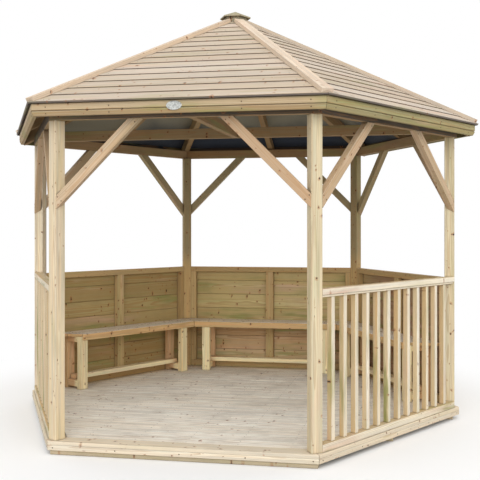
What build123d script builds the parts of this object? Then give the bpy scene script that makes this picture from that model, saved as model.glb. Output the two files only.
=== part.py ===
"""Six-sided timber garden gazebo, in millimetres.

The origin is on the ground under the apex.  +Z is up and the open entrance faces -Y.
Every piece that repeats round the hexagon is built once for the front bay and turned
about Z.  A "flat" distance is measured from the centre square to a side.
"""
from build123d import *
from math import atan, cos, radians, sin, tan
import os

os.makedirs("parts", exist_ok=True)

# ---------------------------------------------------------------- driving dimensions
post_circle_radius = 1600.0 # centre of the floor to the axis of each post
post_size = 70.0            # square posts, turned so that one face looks at the centre
post_easing = 4.0           # rounding of the post arrises
clear_height = 1957.0       # deck to the underside of the ring beam

# floor, from the ground up
bearer_height = 30.0
bearer_width = 95.0
bearer_count = 5
bearer_setback = 18.0       # face of the rim to the face and ends of the bearers
rim_height = 32.0
rim_thickness = 45.0
joist_count = 9
deck_thickness = 22.0
deck_margin = 35.0          # outer face of a post to the corner of the deck
edge_board_width = 120.0
deck_board_count = 23
deck_groove_width = 5.0
deck_groove_depth = 6.0
mitre_gap = 2.0             # open joint between two mitred boards of one ring

# ring beam and knee braces
beam_height = 72.0
frame_thickness = 45.0      # beams, braces and wall frames are cut from 45 mm timber
brace_width = 58.0
brace_drop = 546.0          # underside of the beam down to the toe of a brace
brace_slope = 45.0          # degrees from level

# roof
roof_pitch = 28.4           # degrees
eave_overhang = 127.0       # outer face of the ring beam to the lip of the boards
eave_height = 85.0          # underside of the ring beam up to the lip of the boards
course_count = 15
board_butt = 14.0           # thickness of a roof board at its lower edge
board_tip = 7.5             # and where the next course covers it
underlay_thickness = 3.0
fascia_setback = 17.0        # lip of the boards to the upper band of the fascia
fascia_thickness = 34.0
fascia_drop = 73.0          # lip of the boards down to the lower edge of the fascia
fascia_bevel = 12.0         # the lower band leans in by this much
fascia_groove = 8.0
fascia_groove_drop = 43.0   # lip of the boards down to the groove
fascia_rebate = 9.0         # under the roof boards, as high as it is deep
rafter_width = 45.0
hip_rafter_depth = 95.0
middle_rafter_depth = 85.0
tie_lift = 30.0             # underside of the ring beam up to the underside of the ties
tie_depth = 76.0
king_radius = 70.0
king_height = 150.0
king_clearance = 2.0        # king block to the end of a middle rafter
hip_board_width = 72.0
hip_board_thickness = 17.0
hip_board_setback = 12.0    # corner of the eave up the slope to its end
apex_cap_radius = 120.0
apex_cap_pitch = 24.5       # degrees
apex_cap_rise = 50.0        # top of the roof boards up to its tip
apex_cap_edge = 10.0
apex_seat_radius = 88.0     # block between the hip boards that carries the cap

# balustrade
balustrade_height = 946.0
handrail_height = 35.0
handrail_strip = 14.0
handrail_strip_depth = 44.0
foot_rail_height = 45.0
baluster_size = 34.0
baluster_count = 12

# half-height wall panels
wall_height = 935.0
wall_board_cover = 129.0
wall_board_groove = 6.0
wall_rail_height = 45.0
wall_foot_height = 56.0
side_stud_width = 45.0
middle_stud_width = 68.0

# benches
seat_height = 447.0
seat_depth = 243.0
seat_board_thickness = 22.0
seat_board_gap = 4.0
seat_edge_height = 50.0
seat_edge_thickness = 22.0
seat_clearance = 2.0        # round a post
seat_end = 85.0             # line through the side posts to the cut end of a side seat
leg_width = 70.0
leg_thickness = 45.0
leg_offset = 550.0
leg_rail_height = 50.0
leg_rail_lift = 20.0
stretcher_width = 70.0
stretcher_height = 36.0
stretcher_length = 1110.0

# ---------------------------------------------------------------- worked-out values
side_count = 6
turn = 360.0 / side_count
half_turn = radians(turn / 2)
pitch = radians(roof_pitch)

post_flat = post_circle_radius * cos(half_turn)
post_side = post_circle_radius * sin(half_turn)
inner_arris = post_flat + post_size / 2 * (sin(half_turn) - cos(half_turn))
outer_arris = post_flat + post_size / 2 * (sin(half_turn) + cos(half_turn))

rim_bottom = bearer_height
deck_bottom = rim_bottom + rim_height
deck_top = deck_bottom + deck_thickness
deck_flat = (post_circle_radius + post_size / 2 + deck_margin) * cos(half_turn)
field_flat = deck_flat - edge_board_width

beam_bottom = deck_top + clear_height
beam_top = beam_bottom + beam_height
beam_inner = outer_arris - frame_thickness

eave_flat = outer_arris + eave_overhang
eave_z = beam_bottom + eave_height
fascia_outer = eave_flat - fascia_setback
fascia_inner = fascia_outer - fascia_thickness
fascia_bottom = eave_z - fascia_drop
apex_z = eave_z + eave_flat * tan(pitch)
underlay_rise = underlay_thickness / cos(pitch)
hip_slope = atan(tan(pitch) * cos(half_turn))
hip_fall = sin(half_turn) * tan(pitch) * cos(hip_slope)
board_top_z = apex_z + board_butt / cos(pitch)

side_names = ("front", "front_right", "back_right", "back", "back_left", "front_left")
post_names = ("front_right", "right", "back_right", "back_left", "left", "front_left")
wall_sides = ("back_right", "back", "back_left")
balustrade_sides = ("front_right", "front_left")


def half_span(flat):
    """Half the clear length between two posts, at a distance from the centre."""
    return post_side + ((flat - post_flat) * sin(half_turn) - post_size / 2) / cos(half_turn)


def half_side(flat):
    """Half the length of a mitred piece, at a distance from the centre."""
    return flat * tan(half_turn)


def board_plane(flat):
    """Height of the underside of the roof boards."""
    return apex_z - flat * tan(pitch)


def rafter_plane(flat):
    """Height of the tops of the rafters, under the underlay."""
    return board_plane(flat) - underlay_rise


def up_slope(run, rise):
    """Point of a roof section: run up the slope from the eave, rise square to it."""
    flat = eave_flat - run * cos(pitch) + rise * sin(pitch)
    height = eave_z + run * sin(pitch) + rise * cos(pitch)
    return (-flat, height)


def outline(points):
    """Face bounded by straight lines."""
    with BuildSketch() as face:
        with BuildLine():
            Polyline(*points, close=True)
        make_face()
    return face.sketch


def block(inner, outer, half_inner, half_outer, low, high):
    """Prism whose plan is a trapezoid across the front bay."""
    corners = [
        (-half_outer, -outer),
        (half_outer, -outer),
        (half_inner, -inner),
        (-half_inner, -inner),
    ]
    with BuildPart() as prism:
        with BuildSketch(Plane.XY.offset(low)):
            add(outline(corners))
        extrude(amount=high - low)
    return prism.part


def between_posts(inner, outer, low, high):
    """Piece of the front bay whose ends are bevelled on to the posts."""
    return block(inner, outer, half_span(inner), half_span(outer), low, high)


def mitred(inner, outer, low, high, gap=0.0):
    """Piece of the front bay that is mitred to its neighbours, less half a joint each end."""
    short = gap / 2 / cos(half_turn)
    return block(inner, outer, half_side(inner) - short, half_side(outer) - short, low, high)


def sector(gap=0.0):
    """The sixth of the whole height that lies before the front side."""
    tip = gap / 2 / sin(half_turn)
    reach = 1.5 * eave_flat
    half_width = half_side(reach - tip)
    with BuildPart() as wedge:
        with BuildSketch():
            add(outline([(0, -tip), (half_width, -reach), (-half_width, -reach)]))
        extrude(amount=2 * apex_z)
    return wedge.part


def bay_bar(points, half_length):
    """Bar along the front side with the section given as (y, z) points."""
    with BuildPart() as bar:
        with BuildSketch(Plane.YZ):
            add(outline(points))
        extrude(amount=half_length, both=True)
    return bar.part


def ring(piece, indexes=range(side_count)):
    """Copies of a front piece, turned about Z, in the part that is being built."""
    for index in indexes:
        with Locations(Rotation(0, 0, turn * index)):
            add(piece)


def write(builder, name):
    """Label a finished piece and write it."""
    builder.part.label = name
    export_step(builder.part, f"parts/{name}.step")


def write_turned(piece, name, index):
    """Write a copy of a front piece that is turned to another side."""
    with BuildPart() as turned:
        ring(piece, [index])
    write(turned, name)


# ---------------------------------------------------------------- floor
bearer_reach = deck_flat - bearer_setback - bearer_width / 2
bearer_step = 2 * bearer_reach / (bearer_count - 1)
corner_radius = deck_flat / cos(half_turn)

with BuildPart() as bearers:
    for index in range(bearer_count):
        offset_y = index * bearer_step - bearer_reach
        outer_edge = abs(offset_y) + bearer_width / 2
        half_length = corner_radius - outer_edge * tan(half_turn) - bearer_setback / cos(half_turn)
        with Locations((0, offset_y, bearer_height / 2)):
            Box(2 * half_length, bearer_width, bearer_height)
write(bearers, "bearers")

with BuildPart() as floor_rim:
    ring(mitred(deck_flat - rim_thickness, deck_flat, rim_bottom, deck_bottom, mitre_gap))
write(floor_rim, "floor_rim")

joist_flat = deck_flat - rim_thickness
joist_corner = joist_flat / cos(half_turn)
joist_step = 2 * joist_corner / (joist_count + 1)

with BuildPart() as floor_joists:
    for index in range(joist_count):
        offset_x = (index + 1) * joist_step - joist_corner
        far_x = abs(offset_x) + rim_thickness / 2
        half_length = min(joist_flat, (joist_corner - far_x) / tan(half_turn))
        with Locations((offset_x, 0, rim_bottom + rim_height / 2)):
            Box(rim_thickness, 2 * half_length, rim_height)
write(floor_joists, "floor_joists")

with BuildPart() as deck_edge:
    ring(mitred(field_flat, deck_flat, deck_bottom, deck_top, mitre_gap))
write(deck_edge, "deck_edge")

deck_board_cover = 2 * field_flat / deck_board_count

with BuildPart() as deck_boards:
    with BuildSketch(Plane.XY.offset(deck_bottom)):
        RegularPolygon(field_flat, side_count, major_radius=False, rotation=0)
    extrude(amount=deck_thickness)
    with BuildSketch(Plane.XY.offset(deck_top)):
        with GridLocations(1, deck_board_cover, 1, deck_board_count - 1):
            Rectangle(3 * field_flat, deck_groove_width)
    extrude(amount=-deck_groove_depth, mode=Mode.SUBTRACT)
write(deck_boards, "deck_boards")

# ---------------------------------------------------------------- posts
with BuildPart() as first_post:
    with BuildSketch(Plane.XY.offset(deck_top)):
        with PolarLocations(post_circle_radius, 1, start_angle=-90 + turn / 2):
            RectangleRounded(post_size, post_size, post_easing)
    extrude(amount=clear_height)
for index, name in enumerate(post_names):
    write_turned(first_post.part, f"post_{name}", index)

# ---------------------------------------------------------------- ring beam and knee braces
front_beam = mitred(beam_inner, outer_arris, beam_bottom, beam_top)
for index, name in enumerate(side_names):
    write_turned(front_beam, f"beam_{name}", index)

brace_run = brace_drop / tan(radians(brace_slope))
brace_rise = brace_width / cos(radians(brace_slope))
brace_reach = brace_width / sin(radians(brace_slope))
toe_z = beam_bottom - brace_drop
post_line = half_span(outer_arris)

with BuildPart() as front_braces:
    with BuildSketch(Plane.XZ.offset(beam_inner)):
        with BuildLine():
            Polyline(
                (post_line, toe_z),
                (post_line - brace_run, beam_bottom),
                (post_line - brace_run + brace_reach, beam_bottom),
                (post_line, toe_z + brace_rise),
                close=True,
            )
        make_face()
        mirror(about=Plane.YZ)
    extrude(amount=frame_thickness)
    add(between_posts(beam_inner, outer_arris, toe_z, beam_bottom), mode=Mode.INTERSECT)
with BuildPart() as knee_braces:
    ring(front_braces.part)
write(knee_braces, "knee_braces")

# ---------------------------------------------------------------- roof timbers
groove_z = eave_z - fascia_groove_drop
rebate_flat = fascia_outer - fascia_rebate
rebate_z = board_plane(fascia_outer) - fascia_rebate

with BuildPart() as front_fascia:
    with BuildSketch(Plane.YZ):
        with BuildLine():
            Polyline(
                (fascia_bevel - fascia_outer, fascia_bottom),
                (-fascia_outer, groove_z - fascia_groove / 2),
                (fascia_groove - fascia_outer, groove_z),
                (-fascia_outer, groove_z + fascia_groove / 2),
                (-fascia_outer, rebate_z),
                (-rebate_flat, rebate_z),
                (-rebate_flat, board_plane(rebate_flat)),
                (-fascia_inner, board_plane(fascia_inner)),
                (-fascia_inner, fascia_bottom),
                close=True,
            )
        make_face()
    extrude(amount=half_side(eave_flat), both=True)
    add(sector(mitre_gap), mode=Mode.INTERSECT)
with BuildPart() as fascia:
    ring(front_fascia.part)
write(fascia, "fascia")

with BuildPart() as beam_course:
    with BuildSketch(Plane.XY.offset(beam_bottom)):
        RegularPolygon(outer_arris, side_count, major_radius=False)
        RegularPolygon(beam_inner, side_count, major_radius=False, mode=Mode.SUBTRACT)
    extrude(amount=beam_height)

hip_foot = Vector(eave_flat / cos(half_turn), 0, eave_z - underlay_rise)
hip_plane = Plane(origin=hip_foot, x_dir=(0, -1, 0), z_dir=(-cos(hip_slope), 0, sin(hip_slope)))
hip_length = hip_foot.X / cos(hip_slope)
side_fall = rafter_width / 2 * hip_fall

with BuildPart() as first_hip_rafter:
    with BuildSketch(hip_plane):
        with BuildLine():
            Polyline(
                (0, 0),
                (rafter_width / 2, -side_fall),
                (rafter_width / 2, -hip_rafter_depth),
                (-rafter_width / 2, -hip_rafter_depth),
                (-rafter_width / 2, -side_fall),
                close=True,
            )
        make_face()
    extrude(amount=hip_length)
    with BuildSketch(Plane.XY):
        RegularPolygon(fascia_inner, side_count, major_radius=False)
        RegularPolygon(king_radius, side_count, rotation=turn / 2, mode=Mode.SUBTRACT)
    extrude(amount=2 * apex_z, mode=Mode.INTERSECT)
    add(beam_course.part, mode=Mode.SUBTRACT)
with BuildPart() as hip_rafters:
    ring(first_hip_rafter.part)
write(hip_rafters, "hip_rafters")

king_top = rafter_plane(king_radius)

with BuildPart() as king_block:
    with BuildSketch(Plane.XY.offset(king_top - king_height)):
        RegularPolygon(king_radius, side_count, rotation=turn / 2)
    extrude(amount=king_height)
write(king_block, "king_block")


def side_of_hip_rafter(flat):
    """Half the clear length between two hip rafters, at a distance from the centre."""
    return half_side(flat) - rafter_width / 2 / cos(half_turn)


def sloped_bar(outer, inner, depth):
    """Timber along the front side whose top lies in the rafter plane."""
    return bay_bar(
        [
            (-outer, rafter_plane(outer)),
            (-inner, rafter_plane(inner)),
            (-inner, rafter_plane(inner) - depth),
            (-outer, rafter_plane(outer) - depth),
        ],
        half_side(eave_flat),
    )


middle_end = king_radius + king_clearance
clear_at_end = side_of_hip_rafter(middle_end)
clear_at_fascia = side_of_hip_rafter(fascia_inner)

with BuildPart() as front_middle_rafter:
    add(sloped_bar(fascia_inner, middle_end, middle_rafter_depth))
    with BuildSketch(Plane.XZ):
        with Locations((0, apex_z / 2)):
            Rectangle(rafter_width, apex_z)
    extrude(amount=fascia_inner, mode=Mode.INTERSECT)
    add(
        block(middle_end, fascia_inner, clear_at_end, clear_at_fascia, 0, apex_z),
        mode=Mode.INTERSECT,
    )
    add(beam_course.part, mode=Mode.SUBTRACT)
with BuildPart() as middle_rafters:
    ring(front_middle_rafter.part)
write(middle_rafters, "middle_rafters")

tie_bottom = beam_bottom + tie_lift
tie_top = tie_bottom + tie_depth
beam_corner = beam_inner / cos(half_turn)

with BuildPart() as cross_tie:
    with BuildSketch(Plane.XY.offset(tie_bottom)):
        Rectangle(2 * beam_corner, frame_thickness)
    extrude(amount=tie_depth)
    add(beam_course.part, mode=Mode.SUBTRACT)
    add(hip_rafters.part, mode=Mode.SUBTRACT)
write(cross_tie, "cross_tie")

front_tie_length = beam_inner - frame_thickness / 2

with BuildPart() as front_tie:
    with BuildSketch(Plane.XY.offset(tie_bottom)):
        with Locations((0, -beam_inner + front_tie_length / 2)):
            Rectangle(frame_thickness, front_tie_length)
    extrude(amount=tie_depth)
    add(front_middle_rafter.part, mode=Mode.SUBTRACT)
write(front_tie, "front_tie")

# ---------------------------------------------------------------- roof skin
underlay_section = [
    (-fascia_inner, rafter_plane(fascia_inner)),
    (0, rafter_plane(0)),
    (0, board_plane(0)),
    (-fascia_inner, board_plane(fascia_inner)),
]

with BuildPart() as front_underlay:
    add(bay_bar(underlay_section, half_side(eave_flat)))
    add(sector(), mode=Mode.INTERSECT)
with BuildPart() as underlay:
    ring(front_underlay.part)
write(underlay, "underlay")

slope_length = eave_flat / cos(pitch)
course_cover = slope_length / course_count

lap_section = [up_slope(0, 0)]
for course in range(course_count + 1):
    lap_section.append(up_slope(course * course_cover, board_butt))
    lap_section.append(up_slope((course + 1) * course_cover, board_tip))
lap_section.append(up_slope((course_count + 1) * course_cover, 0))

with BuildPart() as front_slope:
    add(bay_bar(lap_section, half_side(eave_flat) * 1.1))
    add(sector(), mode=Mode.INTERSECT)
for index, name in enumerate(side_names):
    write_turned(front_slope.part, f"roof_{name}", index)

ridge_foot = Vector(hip_foot.X, 0, board_top_z - eave_flat * tan(pitch))
ridge_plane = Plane(origin=ridge_foot, x_dir=hip_plane.x_dir, z_dir=hip_plane.z_dir)
hip_board_half = hip_board_width / 2

with BuildPart() as first_hip_board:
    with BuildSketch(ridge_plane.offset(hip_board_setback)):
        with BuildLine():
            Polyline(
                (0, 0),
                (hip_board_half, -hip_board_half * hip_fall),
                (hip_board_half, hip_board_thickness),
                (0, hip_board_thickness),
                close=True,
            )
        make_face()
        mirror(about=Plane.YZ)
    extrude(amount=hip_length - hip_board_setback)
    with BuildSketch(Plane.XY):
        RegularPolygon(apex_seat_radius, side_count)
    extrude(amount=2 * apex_z, mode=Mode.SUBTRACT)
with BuildPart() as hip_boards:
    ring(first_hip_board.part)
write(hip_boards, "hip_boards")

cap_pitch = radians(apex_cap_pitch)
cap_tip_z = board_top_z + apex_cap_rise
cap_flat = apex_cap_radius * cos(half_turn)
seat_flat = apex_seat_radius * cos(half_turn)


def cap_plane(flat):
    """Height of the top of the apex cap."""
    return cap_tip_z - flat * tan(cap_pitch)


cap_section = [
    (0, cap_tip_z),
    (-cap_flat, cap_plane(cap_flat)),
    (-cap_flat, cap_plane(cap_flat) - apex_cap_edge),
    (-seat_flat, cap_plane(seat_flat) - apex_cap_edge),
    (-seat_flat, board_top_z - seat_flat * tan(pitch)),
    (0, board_top_z),
]

with BuildPart() as front_cap_facet:
    add(bay_bar(cap_section, apex_cap_radius))
    add(sector(), mode=Mode.INTERSECT)
with BuildPart() as apex_cap:
    ring(front_cap_facet.part)
write(apex_cap, "apex_cap")

# ---------------------------------------------------------------- balustrades
handrail_top = deck_top + balustrade_height
handrail_bottom = handrail_top - handrail_height
strip_bottom = handrail_bottom - handrail_strip
foot_rail_top = deck_top + foot_rail_height
rail_centre = (inner_arris + outer_arris) / 2
strip_inner = rail_centre - handrail_strip_depth / 2
strip_outer = rail_centre + handrail_strip_depth / 2
baluster_span = 2 * half_span(rail_centre)
baluster_gap = (baluster_span - baluster_count * baluster_size) / (baluster_count + 1)

with BuildPart() as front_balustrade:
    add(between_posts(inner_arris, outer_arris, handrail_bottom, handrail_top))
    add(between_posts(strip_inner, strip_outer, strip_bottom, handrail_bottom))
    add(between_posts(inner_arris, outer_arris, deck_top, foot_rail_top))
    with BuildSketch(Plane.XY.offset(foot_rail_top)):
        with Locations((0, -rail_centre)):
            with GridLocations(baluster_gap + baluster_size, 1, baluster_count, 1):
                Rectangle(baluster_size, baluster_size)
    extrude(amount=strip_bottom - foot_rail_top)
for name in balustrade_sides:
    write_turned(front_balustrade.part, f"balustrade_{name}", side_names.index(name))

# ---------------------------------------------------------------- wall panels
wall_top = deck_top + wall_height
wall_inner = inner_arris
wall_skin = wall_inner + frame_thickness
wall_outer = outer_arris
wall_rail_bottom = wall_top - wall_rail_height
wall_foot_top = deck_top + wall_foot_height
opening_width = half_span(wall_inner) - side_stud_width - middle_stud_width / 2
opening_x = (middle_stud_width + opening_width) / 2
opening_z = (wall_foot_top + wall_rail_bottom) / 2

with BuildPart() as front_wall_frame:
    add(between_posts(wall_inner, wall_skin, deck_top, wall_top))
    with BuildSketch(Plane.XZ.offset(wall_inner)):
        with Locations((-opening_x, opening_z), (opening_x, opening_z)):
            Rectangle(opening_width, wall_rail_bottom - wall_foot_top)
    extrude(amount=frame_thickness, mode=Mode.SUBTRACT)

wall_joints = int(wall_height // wall_board_cover)

board_section = [(-wall_skin, deck_top), (-wall_skin, wall_top), (-wall_outer, wall_top)]
for joint in range(1, wall_joints + 1):
    joint_z = wall_top - joint * wall_board_cover
    board_section.append((-wall_outer, joint_z + wall_board_groove / 2))
    board_section.append((wall_board_groove / 2 - wall_outer, joint_z))
    board_section.append((-wall_outer, joint_z - wall_board_groove / 2))
board_section.append((-wall_outer, deck_top))

with BuildPart() as front_wall_boards:
    add(bay_bar(board_section, post_side))
    add(between_posts(wall_skin, wall_outer, deck_top, wall_top), mode=Mode.INTERSECT)
for name in wall_sides:
    write_turned(front_wall_frame.part, f"wall_frame_{name}", side_names.index(name))
    write_turned(front_wall_boards.part, f"wall_boards_{name}", side_names.index(name))

# ---------------------------------------------------------------- benches
seat_top = deck_top + seat_height
seat_back = wall_inner
seat_front = seat_back - seat_depth
edge_back = seat_front + seat_edge_thickness
board_bottom = seat_top - seat_board_thickness
board_width = (seat_back - edge_back - 2 * seat_board_gap) / 2
bearer_bottom = board_bottom - leg_thickness

with BuildPart() as front_seat:
    add(mitred(seat_front, edge_back, seat_top - seat_edge_height, seat_top, mitre_gap))
    for index in range(2):
        inner_edge = edge_back + seat_board_gap + index * (board_width + seat_board_gap)
        add(mitred(inner_edge, inner_edge + board_width, board_bottom, seat_top, mitre_gap))
    with BuildSketch(Plane.XY.offset(board_bottom)):
        with PolarLocations(post_circle_radius, 2, start_angle=-90 - turn / 2, angular_range=2 * turn):
            Rectangle(post_size + 2 * seat_clearance, post_size + 2 * seat_clearance)
    extrude(amount=seat_board_thickness, mode=Mode.SUBTRACT)

leg_front = edge_back
leg_run = seat_back - leg_front
leg_gap = leg_run - 2 * leg_thickness
leg_rail_bottom = deck_top + leg_rail_lift
leg_rail_top = leg_rail_bottom + leg_rail_height

with BuildPart() as front_legs:
    with BuildSketch(Plane.YZ.offset(leg_offset - leg_width / 2)):
        with Locations((-leg_front - leg_run / 2, (deck_top + board_bottom) / 2)):
            Rectangle(leg_run, board_bottom - deck_top)
        with Locations((-leg_front - leg_run / 2, (leg_rail_top + bearer_bottom) / 2)):
            Rectangle(leg_gap, bearer_bottom - leg_rail_top, mode=Mode.SUBTRACT)
        with Locations((-leg_front - leg_run / 2, deck_top + leg_rail_lift / 2)):
            Rectangle(leg_gap, leg_rail_lift, mode=Mode.SUBTRACT)
    extrude(amount=leg_width)
    mirror(about=Plane.YZ)
    with BuildSketch(Plane.XY.offset(leg_rail_top)):
        with Locations((0, leg_thickness + stretcher_width / 2 - seat_back)):
            Rectangle(stretcher_length, stretcher_width)
    extrude(amount=stretcher_height)
for name in wall_sides:
    with BuildPart() as bench_seat:
        add(front_seat.part.rotate(Axis.Z, turn * side_names.index(name)))
        split(bisect_by=Plane.XZ.offset(-seat_end), keep=Keep.BOTTOM)
    write(bench_seat, f"bench_seat_{name}")
    write_turned(front_legs.part, f"bench_legs_{name}", side_names.index(name))
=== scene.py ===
"""Woodwork and finishes of an open six-sided timber garden gazebo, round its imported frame.

The floor centre is at the origin, +Z is up and the open entrance faces -Y.  Sizes are in
metres.  A "flat" distance is measured from the centre square to a side of the hexagon.
"""

import random
from math import atan, cos, pi, radians, sin, sqrt, tan
from typing import NamedTuple

import bmesh
import bpy
from mathutils import Matrix, Vector


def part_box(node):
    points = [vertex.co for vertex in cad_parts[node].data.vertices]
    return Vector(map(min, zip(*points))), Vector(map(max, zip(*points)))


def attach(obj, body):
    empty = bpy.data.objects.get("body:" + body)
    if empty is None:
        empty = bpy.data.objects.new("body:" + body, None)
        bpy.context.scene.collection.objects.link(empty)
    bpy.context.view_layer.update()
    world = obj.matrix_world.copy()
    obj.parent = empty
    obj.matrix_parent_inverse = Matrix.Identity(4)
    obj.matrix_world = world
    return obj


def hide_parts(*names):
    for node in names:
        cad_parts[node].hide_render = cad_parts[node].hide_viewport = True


bl_info = {
    "name": "Timber Garden Gazebo",
    "version": (1, 0, 0),
    "blender": (4, 5, 0),
    "location": "3D View > Sidebar > Gazebo",
    "description": "Builds the woodwork and finishes of a six-sided garden gazebo",
    "category": "Object",
}

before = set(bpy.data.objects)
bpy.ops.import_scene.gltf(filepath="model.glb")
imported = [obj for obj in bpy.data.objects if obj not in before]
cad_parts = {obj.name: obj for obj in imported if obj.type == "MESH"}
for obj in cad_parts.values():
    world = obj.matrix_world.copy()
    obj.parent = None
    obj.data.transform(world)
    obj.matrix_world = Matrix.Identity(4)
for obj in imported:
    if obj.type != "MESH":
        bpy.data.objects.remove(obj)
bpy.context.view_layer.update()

# ---------------------------------------------------------------- sizes read from the frame
SIDE_NAMES = ("front", "front_right", "back_right", "back", "back_left", "front_left")
POST_NAMES = ("front_right", "right", "back_right", "back_left", "left", "front_left")
REAR_POSTS = ("back_right", "back_left")
WALL_SIDES = ("back_right", "back", "back_left")
BALUSTRADE_SIDES = ("front_right", "front_left")
TURN = radians(60)
HALF_TURN = radians(30)


def low(node):
    """Lowest corner of a node of the frame."""
    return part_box(node)[0]


def high(node):
    """Highest corner of a node of the frame."""
    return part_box(node)[1]


POST_SIZE = high("post_right").x - low("post_right").x
POST_CIRCLE = (high("post_right").x + low("post_right").x) / 2
POST_FLAT = POST_CIRCLE * cos(HALF_TURN)
POST_SIDE = POST_CIRCLE * sin(HALF_TURN)

DECK_TOP = high("deck_boards").z
DECK_BOTTOM = low("deck_boards").z
DECK_FLAT = high("deck_edge").y
FIELD_FLAT = high("deck_boards").y
RIM_BOTTOM = low("floor_rim").z

OUTER_ARRIS = high("beam_back").y
BEAM_BOTTOM = low("beam_back").z

WALL_INNER = low("wall_frame_back").y
WALL_SKIN = high("wall_frame_back").y
WALL_OUTER = high("wall_boards_back").y
WALL_TOP = high("wall_frame_back").z

SEAT_TOP = high("bench_seat_back").z
SEAT_FRONT = low("bench_seat_back").y
LEG_FRONT = low("bench_legs_back").y
BOARD_BOTTOM = high("bench_legs_back").z

FASCIA_OUTER = high("fascia").y
HANDRAIL_TOP = high("balustrade_front_right").z

# ---------------------------------------------------------------- sizes shared with the frame
ROOF_PITCH = radians(28.4)
COURSE_COUNT = 15
BOARD_BUTT = 0.014
BOARD_TIP = 0.0075
EAVE_FLAT = high("roof_back").y - BOARD_BUTT * sin(ROOF_PITCH)
EAVE_Z = low("roof_back").z
SLOPE_LENGTH = EAVE_FLAT / cos(ROOF_PITCH)
COURSE_COVER = SLOPE_LENGTH / COURSE_COUNT
APEX_CAP_FLAT = high("apex_cap").y
APEX_CAP_EDGE = 0.010
APEX_CAP_PITCH = radians(24.5)
APEX_SEAT_RADIUS = 0.088
HIP_BOARD_WIDTH = 0.072
HIP_BOARD_THICKNESS = 0.017
HIP_BOARD_SETBACK = 0.012
FASCIA_BEVEL = 0.012
FASCIA_GROOVE = 0.008
FASCIA_GROOVE_DROP = 0.043
DECK_BOARD_COUNT = 23
JOIST_COUNT = 9
RIM_THICKNESS = 0.045
WALL_BOARD_COVER = 0.129
WALL_BOARD_COUNT = int((WALL_TOP - DECK_TOP) // WALL_BOARD_COVER)
WALL_RAIL_HEIGHT = 0.045
WALL_FOOT_HEIGHT = 0.056
SIDE_STUD_WIDTH = 0.045
MIDDLE_STUD_WIDTH = 0.068
HANDRAIL_HEIGHT = 0.035
HANDRAIL_STRIP = 0.014
HANDRAIL_STRIP_DEPTH = 0.044
FOOT_RAIL_HEIGHT = 0.045
BALUSTER_SIZE = 0.034
BALUSTER_COUNT = 12
BRACE_WIDTH = 0.058
LEG_WIDTH = 0.070
LEG_THICKNESS = 0.045
LEG_OFFSET = 0.550
LEG_RAIL_HEIGHT = 0.050
LEG_RAIL_LIFT = 0.020
STRETCHER_WIDTH = 0.070
STRETCHER_HEIGHT = 0.036
STRETCHER_LENGTH = 1.110

# ---------------------------------------------------------------- boards, joints and grain
BLANK_HALF = 0.5            # half the length of a board before the board row stretches it
LEAST_HALF = 0.0006         # what a board keeps of it where the mitres would close it
SHARP_ANGLE = radians(35)   # arrises sharper than this are eased
END_CLEARANCE = 0.001       # from a board's end to what it meets
PANEL_JOINT = 0.0001        # open line between two matched boards
CAP_JOINT = 0.0005          # half of the open line between two boards of the apex cap
GRAIN_RUN = 40.0            # length of timber that the pieces are cut from at random
SQUARE_SHARE = 0.6          # a timber deeper than this share of its width counts as square
PITH_IN_SQUARES = (0.02, 0.01, 0.03)    # farthest aside, least and most depth of the pith
PITH_IN_BOARDS = (0.05, 0.03, 0.10)
PITH_IN_ROWS = (0.06, 0.03, 0.12)

# ---------------------------------------------------------------- fixings and plate
HEAD_TOP_SHARE = 0.72       # flat top of a screw or nail head, of its radius
HEAD_HEIGHT = 0.0012
SLOT_SHARES = (0.9, 0.22)   # length and width of the ridge on a head, of its radius
SLOT_HEIGHT = 0.0008
SLOT_LIFT = 0.0011
ROOF_NAIL_SHARE = 0.16      # place of the nails in a course, of its cover
ROOF_NAIL_INSET = 0.085     # from a hip to the nails beside it
LEAST_NAILED_HALF = 0.03    # courses shorter than this by half take no nails
WALL_NAIL_SHARES = (0.25, 0.75)
DECK_SCREW_SHARE = 0.3      # from a deck board's middle, of its cover
DECK_SCREW_INSET = 0.02     # least distance from the deck's edge
EDGE_SCREW_STEP = 0.40
BRACE_SCREW_FOOT = 0.045
BRACE_SCREW_HEAD = 0.03
BRACE_SCREW_SPREAD = 0.6    # from a brace's middle line, of half its width
SEAT_SCREW_LINES = (1, 1.6, 2.7, 3.4)   # from a seat's front, in quarters of its depth
SEAT_SCREW_SPREAD = 0.015
PLATE_STEPS = 48
PLATE_RINGS = ((1.0, 0.0), (1.0, 0.0016), (0.96, 0.0026), (0.90, 0.0026), (0.86, 0.0018))
PLATE_LIFT = 0.004          # above the middle of the fascia

# ---------------------------------------------------------------- studio
FLOOR_REACH = 40.0
FLOOR_FADE = (2.0, 3.4)     # from the centre: where plain white starts and where it is full
FLOOR_BOUNCE = (0.55, 0.55, 0.54, 1.0)
SKY_STRENGTH = 0.94
SUNS = (                    # name, strength, width in degrees and direction of the light
    ("high_sun", 0.80, 70, (-0.15, 0.73, -0.66)),
    ("low_sun", 1.00, 60, (-0.28, 0.92, -0.26)),
)
CAMERA_PLACE = (1.439, -6.086, 1.382)
CAMERA_TURN = radians(10.59)
CAMERA_LENS = 61.3
CAMERA_SHIFT = (-0.071, -0.0246)


def half_span(flat):
    """Half the clear length between two posts, at a distance from the centre."""
    return POST_SIDE + ((flat - POST_FLAT) * sin(HALF_TURN) - POST_SIZE / 2) / cos(HALF_TURN)


def half_side(flat):
    """Half the length of a side of the hexagon, at a distance from the centre."""
    return flat * tan(HALF_TURN)


def side_turn(index):
    """Turn from the front bay to another side."""
    return Matrix.Rotation(TURN * index, 4, "Z")


def on_sides(places, sides=SIDE_NAMES):
    """The fixings of one side, which a function gives, on each of the sides named."""
    return [place for side in sides for place in places(side_turn(SIDE_NAMES.index(side)))]


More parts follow.
